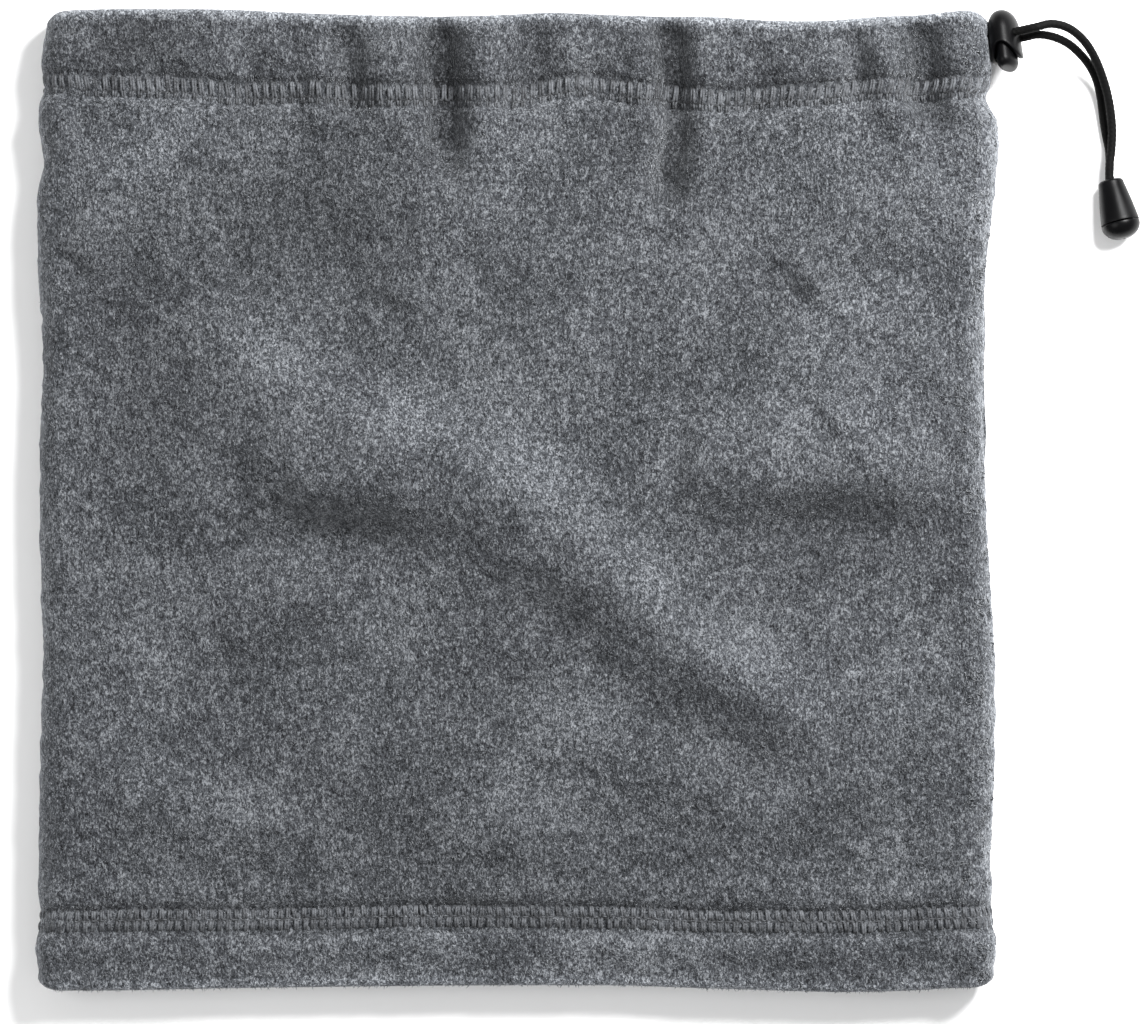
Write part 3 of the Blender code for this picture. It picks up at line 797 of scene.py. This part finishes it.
def shaped(x, y, z):
    """Carries points of the plain flat tube into the real shape."""
    right = edge_line(RIGHT_EDGE, y) / HALF_WIDTH
    left = -edge_line(LEFT_EDGE, y) / HALF_WIDTH
    share = smooth_step((x + HALF_WIDTH) / (2 * HALF_WIDTH))
    new_x = x * (left * (1 - share) + right * share)
    top = edge_line(TOP_EDGE, x) - OUTLINE_HALF_LENGTH
    low = edge_line(BOTTOM_EDGE, x) + OUTLINE_HALF_LENGTH
    new_y = y + top * smooth_step((y - 40) / 92) + low * smooth_step((-y - 40) / 92)
    new_y = new_y + 1.5 * NOISE.at(x, x * 0 + 40, 19.0) * np.exp(-((y - 111) / 15.0) ** 2)
    new_y = new_y + 0.5 * NOISE.at(x, x * 0 + 90, 26.0) * np.exp(-((y + 113) / 12.0) ** 2)
    corner = smooth_step((np.abs(x) - 123) / 7) ** 2
    new_y = new_y - np.sign(y) * 1.0 * corner * smooth_step((np.abs(y) - 122) / 10.5)
    upper = layer_share(z)
    side = smooth_step((128.5 - np.abs(x)) / 12.0)
    folds = FOLD_SCALE * fold_height(x, y) * smooth_step((118 - np.abs(y)) / 26)
    lift = (folds + gather_height(x, y)) * side
    broad = 0.55 * NOISE.at(x, y, 31.0) + 0.30 * NOISE.at(x, y, 13.0) + 0.16 * NOISE.at(x, y, 5.0)
    sag = 1.2 - 0.6 * smooth_step((y - 100) / 14) + 2.0 * smooth_step((-y - 112) / 20)
    new_z = z + upper * (lift + broad * side - sag * side)
    under = (1 - upper) * side
    new_z = new_z + under * 0.35 * (1 + NOISE.at(x + 300, y, 17.0))
    return new_x, new_y, np.maximum(new_z, 0.25)


FLAT_SPAN = 2 * (HALF_WIDTH - END_RADIUS)
HALF_TURN = math.pi * END_RADIUS
GIRTH = 2 * (FLAT_SPAN + HALF_TURN)


def around(s):
    """Middle points and outward normals of the flat tube at the distance s round it."""
    reach = HALF_WIDTH - END_RADIUS
    s = np.mod(s, GIRTH)
    parts = [s < FLAT_SPAN, s < FLAT_SPAN + HALF_TURN, s < 2 * FLAT_SPAN + HALF_TURN]
    left = math.pi / 2 + (s - FLAT_SPAN) / END_RADIUS
    right = -math.pi / 2 + (s - 2 * FLAT_SPAN - HALF_TURN) / END_RADIUS
    x = np.select(parts, [reach - s, -reach, -reach + (s - FLAT_SPAN - HALF_TURN)], reach)
    across = np.select(parts, [0.0, np.cos(left), 0.0], np.cos(right))
    up = np.select(parts, [1.0, np.sin(left), -1.0], np.sin(right))
    return x, across, up


def centre_of_strip():
    """The middle of the cloth cut along Y, as (depth, y), from the hem's turned-in end to the casing's."""
    half = PLY / 2
    pressed = PLY + 0.15
    hem_turn = pressed / 2
    hem_fold = -HALF_LENGTH - 0.5 + half + hem_turn
    casing_turn = (PLY + CHANNEL) / 2
    casing_fold = HALF_LENGTH + 0.5 - half - casing_turn
    line = [(half + pressed, y) for y in steps_between(HEM_STITCH[1] + TURN_IN, hem_fold)]
    line += half_turn(hem_fold, half + hem_turn, hem_turn, -1)
    line += [(half, y) for y in steps_between(hem_fold, casing_fold)]
    line += half_turn(casing_fold, half + casing_turn, casing_turn, 1)
    for y in steps_between(casing_fold, CASING_STITCH[0] - TURN_IN):
        share = float(smooth_step(np.array((y - CASING_STITCH[1]) / 5.0)))
        line.append((half + pressed + share * (2 * casing_turn - pressed), y))
    return np.array(line)


def steps_between(start, stop):
    count = max(1, round(abs(stop - start) / FINE_STEP))
    return [start + (stop - start) * i / count for i in range(1, count)]


def half_turn(y, centre, radius, way):
    """Points round a fold at y; way is 1 for the casing's, which turns inwards, and -1 for the hem's."""
    count = max(5, round(math.pi * radius / (0.75 * FINE_STEP)))
    points = []
    for i in range(count + 1):
        angle = math.pi * i / count
        points.append((centre - way * radius * math.cos(angle), y + way * radius * math.sin(angle)))
    return points


def strip_faces():
    """The two faces of the strip as (depth, y): the one outside the tube, and the one inside it."""
    centre = centre_of_strip()
    ahead = np.gradient(centre, axis=0)
    ahead /= np.linalg.norm(ahead, axis=1)[:, None]
    out = np.stack([-ahead[:, 1], ahead[:, 0]], axis=1)
    return centre + out * PLY / 2, centre - out * PLY / 2


def thinned(face):
    """Every point where the face is seen from outside the tube, and every fourth one elsewhere."""
    shown = (face[:, 0] < 2.4) | (np.abs(face[:, 1]) > 128.5)
    keep = shown | (np.arange(len(face)) % 4 == 0)
    return face[keep]


def skin(s, depth, y):
    """Points of the shaped cloth; s goes round the tube, and depth and y place them on its strip."""
    x, across, up = around(s)
    outside = smooth_step((1.6 - depth) / 1.4)
    out = END_RADIUS - depth + quilted(y, up) * outside
    fine = 0.17 * NOISE_FINE.at(s, y, 2.6) + 0.12 * NOISE_FINE.at(s + 400, y, 1.5, 1.5)
    out = out + fine * outside
    px, py, pz = shaped(x + across * out, y, END_RADIUS + up * out)
    return np.stack([px, py, pz], axis=-1)


def fleece_tube(material):
    outer, inner = strip_faces()
    outer = thinned(outer)
    inner = inner[(np.arange(len(inner)) % 4 == 0)]
    profile = np.concatenate([outer, inner[::-1]])
    stations = round(GIRTH / FINE_STEP)
    s = GIRTH * np.arange(stations) / stations
    count = len(profile)
    grid_s = np.repeat(s[:, None], count, axis=1)
    points = skin(grid_s, profile[None, :, 0], np.repeat(profile[None, :, 1], stations, axis=0))
    obj = mesh_object("fleece_tube", points.reshape(-1, 3), grid_faces(stations, count, ring=True), material)
    paint_light_and_shade(obj, grid_s, np.repeat(profile[None, :, 1], stations, axis=0))
    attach(obj, "gaiter")
    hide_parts("fleece_body", "top_casing", "bottom_hem")
    return obj


def outside_line():
    """Lengths along the tube's outer face, from its lower edge to its top edge, with (depth, y) there."""
    outer = strip_faces()[0]
    low = int(np.argmin(outer[:, 1]))
    high = int(np.argmax(outer[:, 1]))
    line = outer[low - 3:high + 4]
    lengths = np.concatenate([[0.0], np.cumsum(np.linalg.norm(np.diff(line, axis=0), axis=1))])
    return lengths, line


def pile(name, spacing, s_range, seed, material):
    """Short leaning tufts over the outer face, each one a thin closed spike with its root in the cloth."""
    draws = np.random.default_rng(seed)
    lengths, line = outside_line()
    s_low, s_high = s_range
    count = int((s_high - s_low) * lengths[-1] / spacing ** 2)
    s = draws.uniform(s_low, s_high, count)
    t = draws.uniform(0.0, lengths[-1], count)
    y = np.interp(t, lengths, line[:, 1])
    in_band = np.zeros(count, bool)
    for low, high in (CASING_STITCH, HEM_STITCH):
        in_band |= (y > low - 0.2) & (y < high + 0.2)
    in_band &= draws.random(count) < 0.45
    s, t = s[~in_band], t[~in_band]
    count = len(s)

    def at(s, t):
        return skin(s, np.interp(t, lengths, line[:, 0]), np.interp(t, lengths, line[:, 1]))

    root = at(s, t)
    round_way = at(s + 0.8, t) - root
    along_way = at(s, np.minimum(t + 0.8, lengths[-1])) - at(s, np.minimum(t + 0.8, lengths[-1]) - 0.8)
    round_way /= np.linalg.norm(round_way, axis=1)[:, None]
    along_way /= np.maximum(np.linalg.norm(along_way, axis=1), 1e-6)[:, None]
    normal = np.cross(along_way, round_way)
    normal /= np.linalg.norm(normal, axis=1)[:, None]
    comb = 1.6 * NOISE.at(s, t, 9.0) + 0.9 * NOISE.at(s + 200, t, 3.0) + draws.normal(0.0, 0.9, count)
    lean = draws.uniform(0.55, 1.15, count)
    edge = smooth_step((0.75 - normal[:, 2]) / 0.6)
    lean = lean + (1.45 - lean) * 0.88 * edge
    flat = np.cos(comb)[:, None] * along_way * -1 + np.sin(comb)[:, None] * round_way
    way = np.cos(lean)[:, None] * normal + np.sin(lean)[:, None] * flat
    length = draws.uniform(*TUFT_LENGTH, count) * (1 - 0.5 * edge)
    width = draws.uniform(*TUFT_WIDTH, count)
    one = np.cross(way, flat)
    one /= np.maximum(np.linalg.norm(one, axis=1), 1e-6)[:, None]
    other = np.cross(way, one)
    base = root - normal * 0.35
    corners = []
    for angle in (0.0, 2 * math.pi / 3, 4 * math.pi / 3):
        corners.append(base + width[:, None] * (math.cos(angle) * one + math.sin(angle) * other))
    tip = base + way * length[:, None] + flat * 0.25 * length[:, None]
    at_lock = (tip - np.array(LOCK_CENTRE)) @ np.array(lock_rotation())
    pressed = np.abs(at_lock[:, 0]) < LOCK_HALF_DEPTH + 0.4
    pressed &= np.abs(at_lock[:, 1]) < LOCK_HALF_WIDTH + 0.3
    points = np.stack([*corners, tip], axis=1)
    points = points[~pressed].reshape(-1, 3)
    s, t = s[~pressed], t[~pressed]
    count = len(s)
    points[:, 2] = np.maximum(points[:, 2], 0.1)
    first = 4 * np.arange(count)
    faces = [np.stack([first + a, first + b, first + c], axis=1)
             for a, b, c in ((0, 1, 3), (1, 2, 3), (2, 0, 3), (0, 2, 1))]
    obj = mesh_object(name, points, np.concatenate(faces), material)
    # painted shade: 0 at the roots, which the material darkens, and 1 at the tip
    store(obj, "tip", np.tile([0.0, 0.0, 0.0, 1.0], count))
    paint_light_and_shade(obj, s, np.interp(t, lengths, line[:, 1]), 4)
    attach(obj, "gaiter")
    return obj


def thread_points(low, high, pitch, way, seed):
    """A looper thread round the tube: one narrow loop to each stitch, as (s, y, height over the cloth)."""
    draws = np.random.default_rng(seed)
    loops = round(GIRTH / pitch)
    pitch = GIRTH / loops
    shape = [(-0.42, 0.04, -0.45), (-0.20, 0.08, -0.10), (-0.13, 0.34, 0.26), (-0.13, 0.62, 0.30),
             (-0.11, 0.84, 0.10), (0.0, 0.97, -0.40), (0.11, 0.84, 0.10), (0.13, 0.62, 0.30),
             (0.13, 0.34, 0.26), (0.20, 0.08, -0.10)]
    points = []
    for k in range(loops):
        shift = draws.normal(0.0, 0.07)
        slant = draws.normal(0.06, 0.10)
        reach = draws.normal(1.0, 0.06)
        sunk = draws.normal(0.0, 0.12)
        for along, across, height in shape:
            across_now = across * reach
            y = low + (high - low) * across_now if way > 0 else high - (high - low) * across_now
            points.append(((k + 0.5 + along + shift + slant * across) * pitch, y,
                           height + sunk + draws.normal(0, 0.03)))
    return np.array(points)


def stitch_piece(name, rows, node, material):
    """The threads of one band of stitches, laid on the cloth."""
    points, faces, tones = [], [], []
    for row, radius in rows:
        line = []
        for k in range(len(row)):
            a, b, c, d = row[k - 1], row[k], row[(k + 1) % len(row)], row[(k + 2) % len(row)]
            if k == 0 or k >= len(row) - 2:
                line.append(b)
                continue
            for t in (0.0, 0.5):
                line.append(curve_point(a, b, c, d, t))
        line = np.array(line)
        x, across, up = around(line[:, 0])
        out = END_RADIUS + quilted(line[:, 1], up) + line[:, 2] - 0.45 * (1 - smooth_step(np.abs(up) / 0.9))
        laid = np.stack(shaped(x + across * out, line[:, 1], END_RADIUS + up * out), axis=-1)
        body, skin_faces = tube_mesh(laid, radius, THREAD_SIDES)
        first = sum(len(part) for part in points)
        points.append(body)
        # painted shade: 0 where the thread sinks into the cloth, which the material darkens, and 1 where it
        # stands up
        tones.append(np.repeat(smooth_step((line[:, 2] + 0.35) / 0.6), THREAD_SIDES))
        faces += [[first + i for i in face] for face in skin_faces]
    obj = mesh_object(name, np.concatenate(points), faces, material)
    store(obj, "tip", np.concatenate(tones))
    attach(obj, "gaiter")
    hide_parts(node)
    return obj


def straight_thread(y, height, wave):
    """A needle thread that dips into the cloth between its stitches."""
    count = round(GIRTH / 0.8)
    s = GIRTH * np.arange(count) / count
    drift = 0.12 * NOISE.at(s, s * 0, 6.0)
    return np.stack([s, y + drift, height + wave * np.sin(s * 2 * math.pi / 2.4)], axis=1)


def stitches(material):
    low, high = CASING_STITCH
    top = stitch_piece("top_hem_stitches", [
        (thread_points(low + 1.6, high - 0.1, STITCH_PITCH, 1, 11), 0.38),
        (thread_points(low + 0.1, low + 1.8, STITCH_PITCH, -1, 14), 0.30),
    ], "top_hem_thread", material)
    low, high = HEM_STITCH
    middle = (low + high) / 2
    bottom = stitch_piece("bottom_hem_stitches", [
        (thread_points(middle + 0.1, high - 0.1, HEM_PITCH, 1, 12), 0.34),
        (thread_points(low + 0.1, middle - 0.1, HEM_PITCH, -1, 13), 0.38),
        (straight_thread(middle, -0.02, 0.22), 0.2),
    ], "bottom_hem_thread", material)
    return top, bottom


def seam_pieces(cloth_material, sewing_material):
    """The two plies of the seam's edge inside the tube at +X, and the overlock thread round their edge."""
    low, high = HEM_STITCH[1] + 2, CASING_STITCH[0] - 2
    y = np.arange(low, high, 1.5)
    section = []
    for i in range(20):
        angle = 2 * math.pi * i / 20
        c, s = math.cos(angle), math.sin(angle)
        section.append((SEAM_MIDDLE + 3.2 * np.sign(c) * abs(c) ** 0.6,
                        END_RADIUS + 1.7 * np.sign(s) * abs(s) ** 0.6))
    section = np.array(section)
    rings = np.zeros((len(y), len(section), 3))
    rings[:, :, 0] = section[None, :, 0] + 0.25 * NOISE.at(y, y * 0, 9.0)[:, None]
    rings[:, :, 1] = y[:, None]
    rings[:, :, 2] = section[None, :, 1] + 0.3 * NOISE.at(y + 90, y * 0, 7.0)[:, None]
    faces = capped_faces(len(y), len(section))
    seam = mesh_object("side_seam_plies", rings.reshape(-1, 3), faces, cloth_material)
    store(seam, "light_and_shade", np.ones(rings.size // 3))
    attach(seam, "gaiter")
    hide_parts("side_seam_allowance")

    turns = int((high - low - 4) / 2.4)
    line = []
    for k in range(turns * 8):
        angle = 2 * math.pi * k / 8
        line.append((SEAM_EDGE + 1.9 * math.cos(angle), low + 2 + 2.4 * k / 8,
                     END_RADIUS + 2.25 * math.sin(angle)))
    body, faces = tube_mesh(np.array(line), 0.24, THREAD_SIDES)
    loops = mesh_object("side_seam_stitches", body, faces, sewing_material)
    store(loops, "tip", np.ones(len(body)))
    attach(loops, "gaiter")
    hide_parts("side_seam_thread")
    return seam, loops


# The cord lock

def ring(half_x, half_y, level):
    """Points of an oval in the lock's frame; level is a height, or a function of the angle."""
    angle = 2 * math.pi * np.arange(LOCK_STEPS) / LOCK_STEPS
    height = level(angle) if callable(level) else angle * 0 + level
    return np.stack([half_x * np.cos(angle), half_y * np.sin(angle), height], axis=1)


def stacked(rings, name, material):
    """A closed object in the part's frame over rings of the lock's frame."""
    points = np.concatenate(rings) @ np.array(lock_rotation()).T + np.array(LOCK_CENTRE)
    return mesh_object(name, points, capped_faces(len(rings), len(rings[0])), material)


def drill(obj, radius, level, stretch, material):
    """Cuts both cord holes through obj along the lock's X."""
    angle = 2 * math.pi * np.arange(48) / 48
    for side in (-1, 1):
        shift = np.where(np.sin(angle) >= 0, stretch, -stretch)
        rings = [np.stack([angle * 0 + x, side * CORD_SPACING + radius * np.cos(angle),
                           level + radius * np.sin(angle) + shift], axis=1) for x in (-8.0, 8.0)]
        cutter = stacked(rings, "cutter", material)
        cutter.data.flip_normals()
        modifier = obj.modifiers.new("hole", "BOOLEAN")
        modifier.operation = "DIFFERENCE"
        modifier.solver = "EXACT"
        modifier.object = cutter
        made = bpy.data.meshes.new_from_object(obj.evaluated_get(bpy.context.evaluated_depsgraph_get()))
        obj.modifiers.clear()
        obj.data = made
        bpy.data.objects.remove(cutter, do_unlink=True)
    obj.data.shade_smooth()
    obj.data.set_sharp_from_angle(angle=math.radians(35))


def cord_lock(material):
    """The domed barrel, whose rim reaches lower beside the cord holes, and the button that slides in it."""
    def rim(angle):
        return RIM_MIDDLE - RIM_WAVE * np.cos(2 * angle)

    inner_x = LOCK_HALF_DEPTH - LOCK_WALL
    inner_y = LOCK_HALF_WIDTH - LOCK_WALL
    rings = [ring(x, y, CEILING - depth) for x, y, depth in CEILING_CURVE]
    rings += [ring(inner_x, inner_y, DOME_START), ring(inner_x, inner_y, lambda a: rim(a) + 0.3)]
    rings.append(ring(inner_x + 0.2, inner_y + 0.2, rim))
    for degrees in (90, 60, 30, 0):
        inset = LIP_ROUND * (1 - math.cos(math.radians(degrees)))
        drop = LIP_ROUND * (1 - math.sin(math.radians(degrees)))
        rings.append(ring(LOCK_HALF_DEPTH - inset, LOCK_HALF_WIDTH - inset, lambda a, d=drop: rim(a) + d))
    for i in range(1, 6):
        share = i / 6
        rings.append(ring(LOCK_HALF_DEPTH, LOCK_HALF_WIDTH,
                          lambda a, t=share: (rim(a) + LIP_ROUND) * (1 - t) + DOME_START * t))
    for i in range(28):
        t = math.sin(0.5 * math.pi * i / 28)
        size = (1 - t ** DOME_POWER) ** (1 / DOME_POWER)
        level = DOME_START + t * (DOME_TOP - DOME_START)
        rings.append(ring(LOCK_HALF_DEPTH * size, LOCK_HALF_WIDTH * size, level))
    barrel = stacked(rings, "lock_barrel_shell", material)
    drill(barrel, CORD_HOLE_RADIUS, CORD_HOLE_LEVEL, 0.0, material)
    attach(barrel, "lock")
    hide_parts("lock_barrel")

    half_x = inner_x - 0.3
    half_y = inner_y - 0.3
    rings = []
    for i in range(1, 13):
        angle = 0.5 * math.pi * i / 12
        inset = PLUNGER_ROUND * (1 - math.sin(angle))
        rings.append(ring(half_x - 0.8 * inset, half_y - inset,
                          PLUNGER_END + PLUNGER_ROUND * (1 - math.cos(angle))))
    rings += [ring(half_x, half_y, z) for z in (-5.0, -3.0, -1.0, 1.0, PLUNGER_TOP - 0.3)]
    rings.append(ring(half_x - 0.3, half_y - 0.3, PLUNGER_TOP))
    plunger = stacked(rings, "lock_button", material)
    drill(plunger, CORD_RADIUS + 0.3, -1.0, 1.0, material)
    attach(plunger, "plunger")
    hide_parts("lock_plunger")
    for obj in (barrel, plunger):
        bevel = obj.modifiers.new("edges", "BEVEL")
        bevel.width = 0.15 * MM
        bevel.segments = 2
        bevel.limit_method = "ANGLE"
        bevel.angle_limit = math.radians(35)
        bevel.harden_normals = False
    return barrel, plunger


def button_spring(material):
    """The coil between the button and the barrel's ceiling; the real one shortens as the button is pressed,
    this one keeps one length.
    """
    low = PLUNGER_TOP + 0.1 + SPRING_WIRE
    high = CEILING - 0.1 - SPRING_WIRE
    steps = 24 * SPRING_TURNS
    line = []
    for i in range(steps + 1):
        angle = 2 * math.pi * i / 24
        height = low + (high - low) * i / steps
        line.append(in_lock((SPRING_RADIUS * math.cos(angle), SPRING_RADIUS * math.sin(angle), height)))
    body, faces = tube_mesh(np.array(line), SPRING_WIRE, 12)
    spring = mesh_object("lock_spring_coil", body, faces, material)
    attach(spring, "lock")
    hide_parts("lock_spring")
    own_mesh(spring)


# The bell-shaped cord end

def turned_mesh(name, profile, material, closed_ring):
    """A solid turned about the bell's axis from (radius, along), a ring or one that ends on the axis."""
    steps = 72
    turn = BELL_DIRECTION.to_track_quat("Z", "Y").to_matrix()
    rotation = np.array(turn)
    entry = np.array(BELL_ENTRY)
    points, faces = [], []
    count = len(profile)
    for i in range(steps):
        angle = 2 * math.pi * i / steps
        for radius, along in profile:
            points.append((radius * math.cos(angle), radius * math.sin(angle), along))
    last = count if closed_ring else count - 1
    for i in range(steps):
        here, there = i * count, (i + 1) % steps * count
        for j in range(last):
            after = (j + 1) % count
            faces.append((here + j, there + j, there + after, here + after))
    if not closed_ring:
        faces.append([i * count for i in range(steps)])
        faces.append([i * count + count - 1 for i in range(steps)][::-1])
    points = np.array(points) @ rotation.T + entry
    obj = mesh_object(name, points, faces, material)
    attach(obj, "gaiter")
    return obj


def arc(centre_radius, centre_along, radius, start, stop, count):
    points = []
    for i in range(count + 1):
        angle = math.radians(start + (stop - start) * i / count)
        points.append((centre_radius + radius * math.cos(angle), centre_along + radius * math.sin(angle)))
    return points


def bell(material, glossy):
    """The cone with its rounded shoulder and open base, and the domed cap in it."""
    shoulder = 0.85
    profile = arc(BELL_TOP_RADIUS - shoulder, shoulder, shoulder, -70, 0, 8)
    for i in range(1, 12):
        share = i / 12
        radius = BELL_TOP_RADIUS + (BELL_BASE_RADIUS - BELL_TOP_RADIUS) * share
        profile.append((radius + 0.12 * math.sin(math.pi * share), 1.0 + (BELL_LENGTH - 1.2) * share))
    profile += arc(BELL_BASE_RADIUS - 0.2, BELL_LENGTH - 0.22, 0.2, 0, 90, 4)
    profile += [(3.9, BELL_LENGTH), (3.9, 4.0), (2.9, 3.0), (2.75, 0.4), (2.7, 0.12)]
    cone = turned_mesh("bell_cone_shell", profile, material, True)
    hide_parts("bell_cone")
    start = BELL_LENGTH + 0.3
    profile = [(0.4, BELL_LENGTH - 2.0), (3.3, BELL_LENGTH - 2.0), (3.5, BELL_LENGTH - 1.8)]
    profile += [(3.5, start - 0.1), (BELL_BASE_RADIUS - 0.3, start - 0.1)]
    profile += arc(BELL_BASE_RADIUS - 0.18, start + 0.1, 0.18, -80, 0, 4)
    for i in range(1, 16):
        angle = 0.5 * math.pi * i / 16
        radius = BELL_BASE_RADIUS * math.cos(angle) ** 0.92
        profile.append((radius, start + 0.1 + (CAP_HEIGHT - 0.1) * math.sin(angle)))
    profile.append((0.25, start + CAP_HEIGHT))
    cap = turned_mesh("bell_cap_dome", profile, glossy, False)
    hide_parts("bell_cap")
    return cone, cap


def cad_finish(node, material):
    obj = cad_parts[node]
    obj.data.materials.clear()
    obj.data.materials.append(material)
    return obj


def main():
    camera_and_stage()
    elastic = cord_material()
    satin = plastic_material("satin_black", 0.30)
    glossy = plastic_material("gloss_black", 0.22)
    for place, side, straight, route in (("upper", -1, UPPER_STRAIGHT, UPPER_ROUTE),
                                         ("lower", 1, LOWER_STRAIGHT, LOWER_ROUTE)):
        cord = strand("drawcord_" + place, side, straight, route, elastic)
        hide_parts("cord_strand_" + place)
    cone, cap = bell(satin, glossy)
    knot = cad_finish("cord_knot", elastic)
    casing_cord(elastic)
    cord_lock(satin)
    button_spring(spring_material())

    fleece = fleece_material("fleece")
    tufts = pile_material("fleece_pile")
    sewing = thread_material()
    tube = fleece_tube(fleece)
    seam, seam_loops = seam_pieces(fleece, sewing)
    top, bottom = stitches(sewing)
    third = FLAT_SPAN / 3
    side = HALF_TURN * 0.6
    pieces = [
        pile("pile_front_right", TUFT_SPACING, (-side, third), 21, tufts),
        pile("pile_front_middle", TUFT_SPACING, (third, 2 * third), 22, tufts),
        pile("pile_front_left", TUFT_SPACING, (2 * third, FLAT_SPAN + side), 23, tufts),
        pile("pile_back", BACK_TUFT_SPACING, (FLAT_SPAN + side, GIRTH - side), 24, tufts),
    ]


main()
